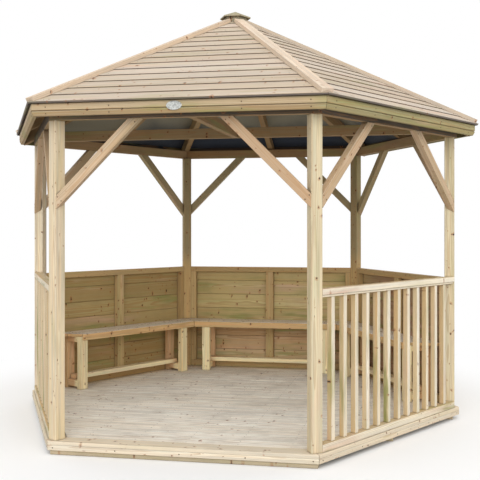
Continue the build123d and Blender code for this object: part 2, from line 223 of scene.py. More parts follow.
def front_slope():
    """Place of the front slope: its eave along X, its rise along Y."""
    return Matrix.Translation((0, -EAVE_FLAT, EAVE_Z)) @ Matrix.Rotation(ROOF_PITCH, 4, "X")


def settings():
    """The sizes and colours that the user may change."""
    scene = bpy.context.scene
    return scene.gazebo_sizes, scene.gazebo_colours


# ---------------------------------------------------------------- properties
def size_property(label, about, default):
    return bpy.props.FloatProperty(
        name=label, description=about, default=default, min=0.0, unit="LENGTH", precision=4
    )


def colour_property(label, about, default):
    return bpy.props.FloatVectorProperty(
        name=label,
        description=about,
        default=[value / 255 for value in default],
        min=0.0,
        max=1.0,
        size=3,
        subtype="COLOR_GAMMA",
    )


class GazeboSizes(bpy.types.PropertyGroup):
    """Sizes of the fine woodwork."""

    timber_easing: size_property("Timber easing", "Rounding of sawn arrises", 0.0025)
    board_easing: size_property("Board easing", "Rounding of planed board edges", 0.0018)
    deck_gap: size_property("Deck gap", "Open joint between two deck boards", 0.004)
    wall_joint: size_property("Wall joint", "Width of the joint between wall boards", 0.0045)
    hip_press: size_property("Hip press", "How far a hip board beds on the laps", 0.004)
    unevenness: size_property("Unevenness", "Most that a board sits out of line", 0.0006)
    ring_spacing: size_property("Ring spacing", "Growth ring width of the softwood", 0.0046)
    knot_spacing: size_property("Knot spacing", "Size of the cells that knots lie in", 0.12)
    knot_radius: size_property("Knot radius", "Middling radius of a knot", 0.030)
    # Reach of the painted shade that darkens joints and corners.
    occlusion_shade_reach: size_property("Occlusion shade reach", "How far the painted shade reaches out of a joint", 0.020)
    screw_radius: size_property("Screw radius", "Radius of a screw head", 0.0042)
    nail_radius: size_property("Nail radius", "Radius of a nail head", 0.0028)
    plate_width: size_property("Plate width", "Width of the blank oval plate", 0.094)
    plate_height: size_property("Plate height", "Height of the blank oval plate", 0.054)


class GazeboColours(bpy.types.PropertyGroup):
    """Colours of the finishes, as they show on a screen."""

    post_pale: colour_property("Posts, pale", "Sapwood of the posts", (240, 230, 208))
    post_deep: colour_property("Posts, deep", "Heartwood of the posts", (218, 198, 160))
    roof_pale: colour_property("Roof, pale", "Sapwood of the roof boards", (214, 205, 193))
    roof_deep: colour_property("Roof, deep", "Heartwood of the roof boards", (184, 168, 145))
    hip_pale: colour_property("Hip boards, pale", "Sapwood of the hip boards", (226, 210, 190))
    hip_deep: colour_property("Hip boards, deep", "Heartwood of the hip boards", (204, 182, 156))
    cap_pale: colour_property("Apex cap, pale", "Sapwood of the apex cap", (176, 170, 146))
    cap_deep: colour_property("Apex cap, deep", "Heartwood of the apex cap", (156, 148, 120))
    frame_pale: colour_property("Wall frames, pale", "Sapwood of the studs", (206, 184, 134))
    frame_deep: colour_property("Wall frames, deep", "Heartwood of the studs", (176, 144, 96))
    fascia_pale: colour_property("Fascia, pale", "Sapwood of the fascia", (208, 190, 158))
    fascia_deep: colour_property("Fascia, deep", "Heartwood of the fascia", (178, 154, 118))
    deck_pale: colour_property("Deck, pale", "Weathered face of the deck", (254, 251, 241))
    deck_deep: colour_property("Deck, deep", "Worn grain of the deck", (247, 240, 225))
    # Inner wall colours: the preservative's green, strengthened as painted green bounce light of
    # the shaded interior.
    wall_pale: colour_property("Walls, pale", "Sapwood of the wall boards", (220, 206, 150))
    wall_deep: colour_property("Walls, deep", "Heartwood of the wall boards", (166, 142, 90))
    bench_pale: colour_property("Benches, pale", "Sapwood of the benches", (226, 198, 148))
    bench_deep: colour_property("Benches, deep", "Heartwood of the benches", (200, 150, 94))
    edge_pale: colour_property("Deck edge, pale", "Sapwood of the deck edge", (236, 226, 206))
    edge_deep: colour_property("Deck edge, deep", "Heartwood of the deck edge", (220, 204, 176))
    leg_pale: colour_property("Bench legs, pale", "Sapwood of the bench legs", (255, 248, 208))
    leg_deep: colour_property("Bench legs, deep", "Heartwood of the bench legs", (244, 220, 166))
    brace_pale: colour_property("Braces, pale", "Sapwood of the knee braces", (211, 190, 161))
    brace_deep: colour_property("Braces, deep", "Heartwood of the knee braces", (183, 152, 120))
    # Painted shade: the rear posts are coloured darker and yellower than the front posts.
    golden_pale: colour_property("Rear posts, low, pale", "Their sapwood", (220, 192, 138))
    golden_deep: colour_property("Rear posts, low, deep", "Their heartwood", (190, 156, 102))
    # Seat tops: pale weathered wood, lightened further as a painted highlight of their sheen.
    seat_pale: colour_property("Seat tops, pale", "Their bleached sapwood", (253, 248, 238))
    seat_deep: colour_property("Seat tops, deep", "Their bleached heartwood", (234, 224, 206))
    baluster_pale: colour_property("Balusters, pale", "Sapwood of their sides", (234, 218, 180))
    baluster_deep: colour_property("Balusters, deep", "Heartwood of their sides", (198, 168, 120))
    # Painted light: lighter copy of the baluster and handrail colours for the faces turned
    # outwards.
    sunlit_pale: colour_property("Sunlit, pale", "Sapwood facing outwards", (247, 241, 224))
    sunlit_deep: colour_property("Sunlit, deep", "Heartwood facing outwards", (228, 216, 188))
    low_band_pale: colour_property("Fascia's lower band, pale", "Its sapwood", (190, 170, 134))
    low_band_deep: colour_property("Fascia's lower band, deep", "Its heartwood", (154, 130, 92))
    # Painted shade: dark grey for the inner faces of the fascia and the undersides of the roof
    # boards, under the eave.
    eave_shade_pale: colour_property("Eave shade, pale", "Painted shade inside the fascia and under the eave", (62, 66, 72))
    eave_shade_deep: colour_property("Eave shade, deep", "The same, darker", (42, 46, 52))
    corner_pale: colour_property("Right posts, pale", "Their sapwood", (222, 211, 180))
    corner_deep: colour_property("Right posts, deep", "Their heartwood", (204, 186, 148))
    shaded_pale: colour_property("Left wall, pale", "Its sapwood", (200, 182, 126))
    shaded_deep: colour_property("Left wall, deep", "Its heartwood", (146, 120, 74))
    # Painted shade: dark colours for the outer faces of the beams and rafters, under the overhang.
    overhang_shade_pale: colour_property("Outer side of beams, pale", "Its sapwood", (112, 102, 88))
    overhang_shade_deep: colour_property("Outer side of beams, deep", "Its heartwood", (78, 70, 60))
    # Painted light: the lit copy of the wall colours, for the outer faces.
    outside_lit_pale: colour_property("Outer side of walls, pale", "Sapwood", (224, 210, 176))
    outside_lit_deep: colour_property("Outer side of walls, deep", "Heartwood", (196, 174, 130))
    floor_pale: colour_property("Floor timbers, pale", "Sapwood", (222, 210, 184))
    floor_deep: colour_property("Floor timbers, deep", "Heartwood", (194, 178, 146))
    # Painted shade: darker, browner colours of the right-hand wall.
    umber_pale: colour_property("Right wall, pale", "Its sapwood", (178, 150, 118))
    umber_deep: colour_property("Right wall, deep", "Its heartwood", (132, 104, 78))
    russet_pale: colour_property("Rear legs, pale", "Their sapwood", (236, 204, 162))
    russet_deep: colour_property("Rear legs, deep", "Their heartwood", (208, 162, 116))
    ruddy_pale: colour_property("Foot of walls, pale", "Its sapwood", (222, 198, 158))
    ruddy_deep: colour_property("Foot of walls, deep", "Its heartwood", (184, 152, 112))
    # Painted light and shade: greener, darker colours of the right-hand fascia, for green bounce
    # light from the ground.
    green_bounce_pale: colour_property("Right fascia, pale", "Its sapwood", (190, 184, 142))
    green_bounce_deep: colour_property("Right fascia, deep", "Its heartwood", (160, 148, 102))
    # Painted shade: darker still, for the upper part of the rear posts and the back ends of the
    # braces.
    rear_pale: colour_property("Rear posts, pale", "Sapwood of the rear posts", (176, 164, 128))
    rear_deep: colour_property("Rear posts, deep", "Heartwood of the rear posts", (146, 130, 94))
    under_pale: colour_property("Roof timbers, pale", "Sapwood of the rafters", (180, 158, 120))
    under_deep: colour_property("Roof timbers, deep", "Heartwood of the rafters", (146, 114, 78))
    late_wood: colour_property("Late wood", "Dark side of a growth ring", (166, 120, 72))
    green_stain: colour_property("Green stain", "Tint of the preservative", (146, 152, 92))
    pink_stain: colour_property("Pink stain", "Tint of fresh heartwood", (216, 178, 156))
    knot: colour_property("Knots", "Middle of a knot", (54, 34, 22))
    resin: colour_property("Resin", "Resinous wood round a knot", (172, 114, 72))
    # Colour of the damp patches, and of the painted shade in joints and corners.
    grime_and_shade: colour_property("Grime", "Damp patches on the timbers, and painted shade in joints and corners", (96, 82, 66))
    eave_membrane: colour_property("Eave membrane", "Underlay near the eave", (46, 57, 76))
    membrane: colour_property("Membrane", "Underside of the roof underlay", (156, 152, 134))
    zinc: colour_property("Zinc", "Plated screws and nails", (98, 78, 54))
    steel: colour_property("Steel", "Stainless screws of the deck", (196, 188, 174))
    plate: colour_property("Plate", "Blank oval plate", (196, 198, 194))
    ground: colour_property("Ground", "Studio floor", (247, 247, 247))


# ---------------------------------------------------------------- node wiring
def linear(colour):
    """Screen colour as the linear colour that a socket wants."""
    parts = [c / 12.92 if c <= 0.04045 else ((c + 0.055) / 1.055) ** 2.4 for c in colour]
    return (*parts, 1.0)


def pick(sockets, key):
    """Socket by number, or the one of that name that is in use."""
    if isinstance(key, int):
        return sockets[key]
    return next(socket for socket in sockets if socket.name == key and socket.enabled)


class Wires:
    """Adds nodes to one tree and joins them."""

    def __init__(self, tree):
        self.tree = tree

    def add(self, kind, feeds=None, **choices):
        node = self.tree.nodes.new(kind)
        for key, value in choices.items():
            setattr(node, key, value)
        for key, value in (feeds or {}).items():
            self.feed(pick(node.inputs, key), value)
        return node

    def feed(self, socket, value):
        if isinstance(value, bpy.types.NodeSocket):
            self.tree.links.new(value, socket)
        else:
            socket.default_value = value

    def math(self, operation, *values, clamp=False):
        feeds = dict(enumerate(values))
        return self.add("ShaderNodeMath", feeds, operation=operation, use_clamp=clamp).outputs[0]

    def vector(self, operation, *values, out="Vector", **named):
        feeds = {**dict(enumerate(values)), **named}
        return self.add("ShaderNodeVectorMath", feeds, operation=operation).outputs[out]

    def mix(self, factor, first, second, blend="MIX"):
        feeds = {"Factor": factor, "A": first, "B": second}
        node = self.add("ShaderNodeMix", feeds, data_type="RGBA", blend_type=blend)
        return pick(node.outputs, "Result")

    def span(self, value, start, end, low_out=0.0, high_out=1.0):
        """Value brought smoothly from one range to another."""
        feeds = dict(enumerate((value, start, end, low_out, high_out)))
        return self.add("ShaderNodeMapRange", feeds, interpolation_type="SMOOTHSTEP").outputs[0]

    def noise(self, vector, scale=1.0, detail=2.0, roughness=0.5, out="Fac"):
        feeds = {"Vector": vector, "Scale": scale, "Detail": detail, "Roughness": roughness}
        return self.add("ShaderNodeTexNoise", feeds).outputs[out]

    def parts(self, vector):
        return self.add("ShaderNodeSeparateXYZ", {0: vector}).outputs

    def joined(self, x, y, z):
        return self.add("ShaderNodeCombineXYZ", {0: x, 1: y, 2: z}).outputs[0]

    def drawn_out(self, place, along, across):
        """Place at one scale along the grain and at another across it."""
        return self.vector("MULTIPLY", place, (along, across, across))


def open_group(name, kind, takes, gives):
    """New node group with its sockets: its wires, its input sockets and its output node."""
    tree = bpy.data.node_groups.new(name, kind)
    for label, socket_type, *default in takes:
        made = tree.interface.new_socket(label, in_out="INPUT", socket_type=socket_type)
        if default:
            made.default_value = default[0]
    for label, socket_type in gives:
        tree.interface.new_socket(label, in_out="OUTPUT", socket_type=socket_type)
    wires = Wires(tree)
    return wires, wires.add("NodeGroupInput").outputs, wires.add("NodeGroupOutput").inputs


NUMBER = "NodeSocketFloat"
POINTER = "NodeSocketVector"
COLOUR = "NodeSocketColor"
SHAPE = "NodeSocketGeometry"


# ---------------------------------------------------------------- grain, knots, stains and painted shade
KNOT_EDGE = 0.010           # how far a knot's outline strays
KNOT_DEPTH = 0.075          # distance from the pith at which the knots are spaced
LEAST_KNOT = 0.35           # smallest knot, of the middling radius
KNOT_CORE = (1.0, 0.65)     # where the core starts and is full, in radii of the knot
KNOT_HALO = (3.4, 0.9)      # the same for the resinous wood round it
KNOT_PUSH = (5.0, 0.4)      # the same for its push on the growth rings
RING_WANDER = 0.030         # how far the growth rings stray
RING_PUSH = 0.010           # how far a knot pushes them aside
LATE_RISE = (0.25, 0.86)    # where late wood starts and is full, in a ring's width
LATE_FALL = (1.0, 0.92)     # where it ends, which is sharper
LATE_RELIEF = 0.35
FIBRE_RELIEF = 0.65
STREAK_REACH = (0.32, 0.68)     # from none to full, in the noise that makes each stain
GREEN_REACH = (0.50, 0.72)
PINK_REACH = (0.50, 0.74)
GREY_REACH = (0.42, 0.72)
OCCLUSION_SHADE_REACH = (0.85, 0.40)    # painted shade: share of open sky where it starts, to where it is full


def knots_group():
    """Knots, which spread from the pith: their mask, halo and push on the rings."""
    takes = [
        ("Grain", POINTER),
        ("Spacing", NUMBER, 0.12),
        ("Share", NUMBER, 0.3),
        ("Radius", NUMBER, 0.010),
    ]
    gives = [("Knot", NUMBER), ("Halo", NUMBER), ("Push", NUMBER)]
    w, given, result = open_group("gazebo_knots", "ShaderNodeTree", takes, gives)
    ragged = w.noise(given["Grain"], 90.0, 2.0, out="Color")
    nudge = w.vector("SCALE", w.vector("SUBTRACT", ragged, (0.5, 0.5, 0.5)), Scale=KNOT_EDGE)
    x, y, z = w.parts(w.vector("ADD", given["Grain"], nudge))
    along = w.math("DIVIDE", x, given["Spacing"])
    reach = w.math("DIVIDE", KNOT_DEPTH, given["Spacing"])
    around = w.math("MULTIPLY", w.math("ARCTAN2", y, z), reach)
    cells = w.add(
        "ShaderNodeTexVoronoi", {"Vector": w.joined(along, around, 0.0)}, voronoi_dimensions="2D"
    )
    chance = w.parts(cells.outputs["Color"])
    there = w.math("LESS_THAN", chance[0], given["Share"])
    size = w.math("ADD", w.math("POWER", chance[1], 2.0), LEAST_KNOT)
    radius = w.math("MULTIPLY", given["Radius"], size)
    away = w.math("MULTIPLY", cells.outputs["Distance"], given["Spacing"])
    distance = w.math("DIVIDE", away, radius)
    core = w.math("MULTIPLY", w.span(distance, *KNOT_CORE), there)
    halo = w.math("MULTIPLY", w.span(distance, *KNOT_HALO), there)
    push = w.math("MULTIPLY", w.span(distance, *KNOT_PUSH), there)
    w.feed(result["Knot"], core)
    w.feed(result["Halo"], w.math("SUBTRACT", halo, core, clamp=True))
    w.feed(result["Push"], push)
    return w.tree


def rings_group():
    """Growth rings and fibres of a sawn board, solid all through it."""
    takes = [
        ("Grain", POINTER),
        ("Push", NUMBER, 0.0),
        ("Spacing", NUMBER, 0.0046),
    ]
    gives = [("Late", NUMBER), ("Fibre", NUMBER), ("Streak", NUMBER), ("Height", NUMBER)]
    w, given, result = open_group("gazebo_rings", "ShaderNodeTree", takes, gives)
    across, depth = w.parts(given["Grain"])[1:]
    slow = w.drawn_out(given["Grain"], 1.1, 7)
    wander = w.math("MULTIPLY", w.noise(slow, 1.0, 3.0), RING_WANDER)
    square = w.math("ADD", w.math("MULTIPLY", across, across), w.math("MULTIPLY", depth, depth))
    away = w.math("SQRT", square)
    pushed = w.math("MULTIPLY", given["Push"], RING_PUSH)
    reach = w.math("ADD", w.math("ADD", away, wander), pushed)
    turn = w.math("FRACT", w.math("DIVIDE", reach, given["Spacing"]))
    late = w.math("MULTIPLY", w.span(turn, *LATE_RISE), w.span(turn, *LATE_FALL))
    fibre = w.noise(w.drawn_out(given["Grain"], 9, 420), 1.0, 3.0, 0.6)
    broad = w.drawn_out(given["Grain"], 1.2, 48)
    w.feed(result["Streak"], w.span(w.noise(broad, 1.0, 4.0, 0.6), *STREAK_REACH))
    w.feed(result["Late"], late)
    w.feed(result["Fibre"], fibre)
    ridge = w.math("MULTIPLY", late, LATE_RELIEF)
    w.feed(result["Height"], w.math("ADD", ridge, w.math("MULTIPLY", fibre, FIBRE_RELIEF)))
    return w.tree


def stains_and_shade_group():
    """Soft patches of preservative, heartwood and damp, and painted shade in joints and corners.
    """
    takes = [("Grain", POINTER), ("Place", POINTER), ("Reach", NUMBER, 0.02)]
    gives = [("Green", NUMBER), ("Pink", NUMBER), ("Grey", NUMBER), ("Crevice", NUMBER)]
    w, given, result = open_group("gazebo_stains_and_shade", "ShaderNodeTree", takes, gives)
    streak = w.drawn_out(given["Grain"], 1.6, 14)
    green = w.noise(streak, 1.0, 3.0, 0.55)
    pink = w.noise(w.vector("ADD", streak, (31.0, 7.0, 3.0)), 0.8, 3.0, 0.6)
    grey = w.noise(given["Place"], 5.5, 4.0, 0.65)
    w.feed(result["Green"], w.span(green, *GREEN_REACH))
    w.feed(result["Pink"], w.span(pink, *PINK_REACH))
    w.feed(result["Grey"], w.span(grey, *GREY_REACH))
    # Painted shade: darker where little open sky is seen, in joints, corners and under laps.
    open_sky = w.add("ShaderNodeAmbientOcclusion", {"Distance": given["Reach"]}, samples=8)
    w.feed(result["Crevice"], w.span(open_sky.outputs["AO"], *OCCLUSION_SHADE_REACH))
    return w.tree


TONE_SHARE = 0.45           # how far a board's own tone takes it from pale to deep
STREAK_SHARE = 0.55         # how far its streaks do
DARKEST_FIBRE = 0.71        # brightness where neither fibre nor streak lightens the wood
FIBRE_CONTRAST = 0.28
STREAK_CONTRAST = 0.30
HALO_STRENGTH = 0.6
KNOT_STRENGTH = 0.95
# strength of the painted shade in joints and corners
OCCLUSION_SHADE_STRENGTH = 0.5
LEAST_STAIN = 0.3           # weakest stain of a board, of the middling one
STAIN_SPREAD = 1.4          # from there to the strongest
GREEN_STEP = 7.3            # what mixes a board's tone into the strength of its stains
PINK_STEP = 13.7
SMOOTHEST_WOOD = 0.62
FIBRE_ROUGHNESS = 0.22
KNOT_POLISH = 0.18
SEAT_POLISH = 0.30

MASKS = ("Tone", "Late", "Fibre", "Streak", "Knot", "Halo", "Green", "Pink", "Grey", "Crevice")
AMOUNTS = ("Late", "Green", "Pink", "Grey")
SHARED_COLOURS = {
    "Late Wood": "late_wood",
    "Knot Wood": "knot",
    "Resin": "resin",
    "Green Stain": "green_stain",
    "Pink Stain": "pink_stain",
    "Grime": "grime_and_shade",
}


def softwood_group():
    """Colour and roughness of planed softwood from its rings, knots and stains."""
    takes = [(label, NUMBER, 0.0) for label in MASKS]
    takes += [(f"{label} Amount", NUMBER, 0.3) for label in AMOUNTS]
    takes += [(label, COLOUR) for label in ("Pale", "Deep", *SHARED_COLOURS)]
    gives = [("Color", COLOUR), ("Roughness", NUMBER)]
    w, given, result = open_group("gazebo_softwood", "ShaderNodeTree", takes, gives)

    def amount(label):
        return w.math("MULTIPLY", given[label], given[f"{label} Amount"])

    def board_share(step):
        """Strength of a stain on this board, which its tone picks."""
        share = w.math("FRACT", w.math("MULTIPLY", given["Tone"], step))
        return w.math("ADD", LEAST_STAIN, w.math("MULTIPLY", share, STAIN_SPREAD))

    def weighed(label, weight):
        return w.math("MULTIPLY", given[label], weight)

    shade = w.math("ADD", weighed("Tone", TONE_SHARE), weighed("Streak", STREAK_SHARE))
    colour = w.mix(shade, given["Pale"], given["Deep"])
    pink = w.math("MULTIPLY", amount("Pink"), board_share(PINK_STEP), clamp=True)
    green = w.math("MULTIPLY", amount("Green"), board_share(GREEN_STEP), clamp=True)
    colour = w.mix(pink, colour, given["Pink Stain"])
    colour = w.mix(green, colour, given["Green Stain"])
    colour = w.mix(amount("Late"), colour, given["Late Wood"])
    bright = w.math("ADD", weighed("Fibre", FIBRE_CONTRAST), DARKEST_FIBRE)
    bright = w.math("ADD", bright, weighed("Streak", STREAK_CONTRAST))
    colour = w.mix(1.0, colour, w.joined(bright, bright, bright), "MULTIPLY")
    colour = w.mix(amount("Grey"), colour, given["Grime"])
    colour = w.mix(weighed("Halo", HALO_STRENGTH), colour, given["Resin"])
    colour = w.mix(weighed("Knot", KNOT_STRENGTH), colour, given["Knot Wood"])
    # painted shade in joints and corners
    colour = w.mix(weighed("Crevice", OCCLUSION_SHADE_STRENGTH), colour, given["Grime"])
    w.feed(result["Color"], colour)
    dull = w.math("ADD", SMOOTHEST_WOOD, weighed("Fibre", FIBRE_ROUGHNESS))
    w.feed(result["Roughness"], w.math("SUBTRACT", dull, weighed("Knot", KNOT_POLISH)))
    return w.tree


def group_of(maker):
    """The node group that a maker makes, built once."""
    made = group_of.made
    if maker not in made:
        made[maker] = maker()
    return made[maker]


group_of.made = {}


class Finish(NamedTuple):
    """One softwood finish: its pair of colours, how strong its rings and stains are, how
    many of its cells hold a knot, and the depth of its relief."""

    family: str
    late: float
    green: float
    pink: float
    grey: float
    knots: float
    relief: float = 0.0004


class Pass(NamedTuple):
    """Where a finish passes into another pair of colours: along a track, between two places."""

    family: str
    track: str
    start: float
    end: float


FINISHES = {
    "posts": Finish("post", 0.34, 0.26, 0.26, 0.03, 0.035),
    "braces": Finish("brace", 0.38, 0.20, 0.40, 0.04, 0.045),
    # rear posts take darker colours than the front ones: painted shade
    "rear_posts": Finish("golden", 0.36, 0.30, 0.16, 0.05, 0.10),
    "roof_boards": Finish("roof", 0.30, 0.26, 0.45, 0.05, 0.04),
    "hip_boards": Finish("hip", 0.26, 0.06, 0.40, 0.08, 0.03),
    "apex_cap": Finish("cap", 0.20, 0.20, 0.05, 0.20, 0.08),
    "fascia": Finish("fascia", 0.36, 0.50, 0.30, 0.06, 0.05),
    "deck_boards": Finish("deck", 0.37, 0.06, 0.04, 0.20, 0.03, 0.0008),
    "deck_edge": Finish("edge", 0.30, 0.18, 0.16, 0.04, 0.06),
    "floor_timbers": Finish("floor", 0.30, 0.20, 0.10, 0.12, 0.14, 0.0005),
    "wall_boards": Finish("wall", 0.44, 0.74, 0.46, 0.10, 0.075),
    "wall_frames": Finish("frame", 0.36, 0.24, 0.22, 0.05, 0.08),
    "balustrades": Finish("baluster", 0.40, 0.76, 0.44, 0.05, 0.02),
    "benches": Finish("bench", 0.36, 0.14, 0.26, 0.06, 0.08),
    "bench_legs": Finish("leg", 0.34, 0.12, 0.28, 0.04, 0.04),
    "roof_timbers": Finish("under", 0.36, 0.34, 0.22, 0.12, 0.06, 0.0005),
}

# The passes of a finish, in the order in which they lie over each other.  Tracks: "right",
# "back" and "up" are places in metres, "reach" is the distance from the middle, "level" is 1
# on an upper side and -1 on an underside, "outward" is 1 on an outer side and -1 on an inner.
PASSES = {
    # outward faces painted lighter than the sides: painted light
    "balustrades": (Pass("sunlit", "outward", 0.60, 0.80),),
    "fascia": (
        Pass("low_band", "level", -0.05, -0.20),
        # right-hand fascia painted greener and darker: green bounce light and shade
        Pass("green_bounce", "right", 0.75, 0.90),
        # inner faces of the fascia painted dark: painted shade under the eave
        Pass("eave_shade", "outward", -0.40, -0.80),
    ),
    # painted shade on the outer faces of the roof timbers, under the overhang
    "roof_timbers": (Pass("overhang_shade", "outward", 0.60, 0.90),),
    "bench_legs": (Pass("russet", "reach", 1.34, 1.38),),
    "wall_boards": (
        Pass("ruddy", "up", 0.56, 0.46),
        Pass("shaded", "right", -0.30, -1.00),
        # right-hand wall darkened as painted shade
        Pass("umber", "right", 0.70, 1.10),
        # outer faces pass to the lit copy: painted light
        Pass("outside_lit", "outward", 0.50, 0.80),
    ),
    # undersides of the roof boards painted dark: painted shade under the eave
    "roof_boards": (Pass("eave_shade", "level", -0.20, -0.60),),
    "hip_boards": (Pass("roof", "back", -0.10, -0.04),),
    "posts": (Pass("corner", "right", 0.30, 0.70),),
    # upper part of the rear posts darkened as painted shade under the roof
    "rear_posts": (Pass("rear", "up", 0.95, 1.20),),
    # braces darkened towards the back as painted shade
    "braces": (Pass("rear", "back", 0.10, 0.90),),
    # upper sides of the seats: weathered pale, lightened further as a painted highlight
    "benches": (Pass("seat", "level", 0.70, 0.95),),
}


def wood(slot_name):
    """Material of one of the softwood finishes."""
    name = f"gazebo_{slot_name}"
    if name in bpy.data.materials:
        return bpy.data.materials[name]
    sizes, colours = settings()
    finish = FINISHES[slot_name]
    material = bpy.data.materials.new(name)
    material.use_nodes = True
    w = Wires(material.node_tree)
    surface = material.node_tree.nodes["Principled BSDF"]
    grain = w.add("ShaderNodeAttribute", attribute_name="grain").outputs["Vector"]
    tone = w.add("ShaderNodeAttribute", attribute_name="tone").outputs["Fac"]
    place = w.add("ShaderNodeTexCoord").outputs["Object"]

    def grouped(maker, feeds):
        return w.add("ShaderNodeGroup", feeds, node_tree=group_of(maker)).outputs

    def pair(of_family):
        return [linear(getattr(colours, f"{of_family}_{end}")) for end in ("pale", "deep")]

    pale, deep = pair(finish.family)
    if slot_name in PASSES:
        facing = w.add("ShaderNodeNewGeometry").outputs["Normal"]
        right, back, up = w.parts(place)
        flat = w.vector("MULTIPLY", place, (1.0, 1.0, 0.0))
        outward = w.vector("NORMALIZE", flat)
        tracks = {
            "right": right,
            "back": back,
            "up": up,
            "level": w.parts(facing)[2],
            "reach": w.vector("LENGTH", flat, out="Value"),
            "outward": w.vector("DOT_PRODUCT", facing, outward, out="Value"),
        }
        for step in PASSES[slot_name]:
            passed = w.span(tracks[step.track], step.start, step.end)
            pale, deep = (w.mix(passed, *ends) for ends in zip((pale, deep), pair(step.family)))

    knot_sizes = {"Spacing": sizes.knot_spacing, "Radius": sizes.knot_radius}
    knot = grouped(knots_group, {"Grain": grain, "Share": finish.knots, **knot_sizes})
    ring = grouped(
        rings_group, {"Grain": grain, "Push": knot["Push"], "Spacing": sizes.ring_spacing}
    )
    stain = grouped(stains_and_shade_group, {"Grain": grain, "Place": place, "Reach": sizes.occlusion_shade_reach})
    masks = {"Tone": tone}
    for group, labels in (
        (ring, ("Late", "Fibre", "Streak")),
        (knot, ("Knot", "Halo")),
        (stain, ("Green", "Pink", "Grey", "Crevice")),
    ):
        masks |= {label: group[label] for label in labels}
    amounts = {f"{label} Amount": getattr(finish, label.lower()) for label in AMOUNTS}
    shared = {label: linear(getattr(colours, key)) for label, key in SHARED_COLOURS.items()}
    shade = grouped(softwood_group, {**masks, **amounts, "Pale": pale, "Deep": deep, **shared})
    dull = shade["Roughness"]
    if slot_name == "benches":      # their one pass is the upper side of the seats
        dull = w.math("SUBTRACT", dull, w.math("MULTIPLY", passed, SEAT_POLISH))
    bump = w.add("ShaderNodeBump", {"Height": ring["Height"], "Distance": finish.relief})
    w.feed(surface.inputs["Base Color"], shade["Color"])
    w.feed(surface.inputs["Roughness"], dull)
    w.feed(surface.inputs["Normal"], bump.outputs[0])
    surface.inputs["Specular IOR Level"].default_value = 0.3
    return material


WEAVE_SCALE = 160.0
SHEET_BLOTCH = 0.12         # how far blotches move the line between the two sheets
EAVE_SHEET = (0.16, 0.30)   # heights above the eave between which the dark sheet ends
BACK_SHEET = (1.1, 0.6)     # the same, from the back towards the middle
SHEET_SHADE = (0.62, 0.62, 0.62, 1.0)


def membrane():
    """Woven underlay under the roof boards, on the frame's own sheet."""
    colours = settings()[1]
    material = bpy.data.materials.new("gazebo_membrane")
    material.use_nodes = True
    w = Wires(material.node_tree)
    surface = material.node_tree.nodes["Principled BSDF"]
    place = w.add("ShaderNodeTexCoord").outputs["Object"]
    blotch = w.noise(place, 3.0, 3.0)
    feeds = {"Vector": place, "Scale": WEAVE_SCALE, "Distortion": 0.4}
    warp, weft = (
        w.add("ShaderNodeTexWave", feeds, bands_direction=way).outputs["Fac"] for way in "XY"
    )
    weave = w.math("MULTIPLY", warp, weft)
    back, up = w.parts(place)[1:]
    height = w.math("ADD", up, w.math("MULTIPLY", blotch, SHEET_BLOTCH))
    above_eave = w.math("SUBTRACT", height, EAVE_Z)
    inner = w.math("MAXIMUM", w.span(above_eave, *EAVE_SHEET), w.span(back, *BACK_SHEET))
    colour = w.mix(inner, linear(colours.eave_membrane), linear(colours.membrane))
    dark = w.mix(1.0, colour, SHEET_SHADE, "MULTIPLY")
    cover = w.math("ADD", w.math("MULTIPLY", blotch, 0.6), w.math("MULTIPLY", weave, 0.3))
    tint = w.mix(cover, dark, colour)
    bump = w.add("ShaderNodeBump", {"Height": weave, "Distance": 0.0003})
    w.feed(surface.inputs["Base Color"], tint)
    w.feed(surface.inputs["Roughness"], w.span(blotch, 0.2, 0.8, 0.45, 0.62))
    w.feed(surface.inputs["Normal"], bump.outputs[0])
    return material


TARNISH_REACH = (0.35, 0.7)
TARNISH_SHADE = 0.55        # brightness of tarnished metal, of the clean one
TARNISH_ROUGHNESS = 0.2
DULL_METAL = 0.4


def metal(name, colour, roughness):
    """Plated metal with small patches of tarnish."""
    material = bpy.data.materials.new(f"gazebo_{name}")
    material.use_nodes = True
    w = Wires(material.node_tree)
    surface = material.node_tree.nodes["Principled BSDF"]
    place = w.add("ShaderNodeTexCoord").outputs["Object"]
    tarnish = w.span(w.noise(place, 90.0, 3.0), *TARNISH_REACH)
    bright = linear(colour)
    dull = (*(part * TARNISH_SHADE for part in bright[:3]), 1.0)
    rougher = w.math("MULTIPLY", tarnish, TARNISH_ROUGHNESS)
    w.feed(surface.inputs["Base Color"], w.mix(tarnish, bright, dull))
    w.feed(surface.inputs["Roughness"], w.math("ADD", roughness, rougher))
    surface.inputs["Metallic"].default_value = DULL_METAL
    return material


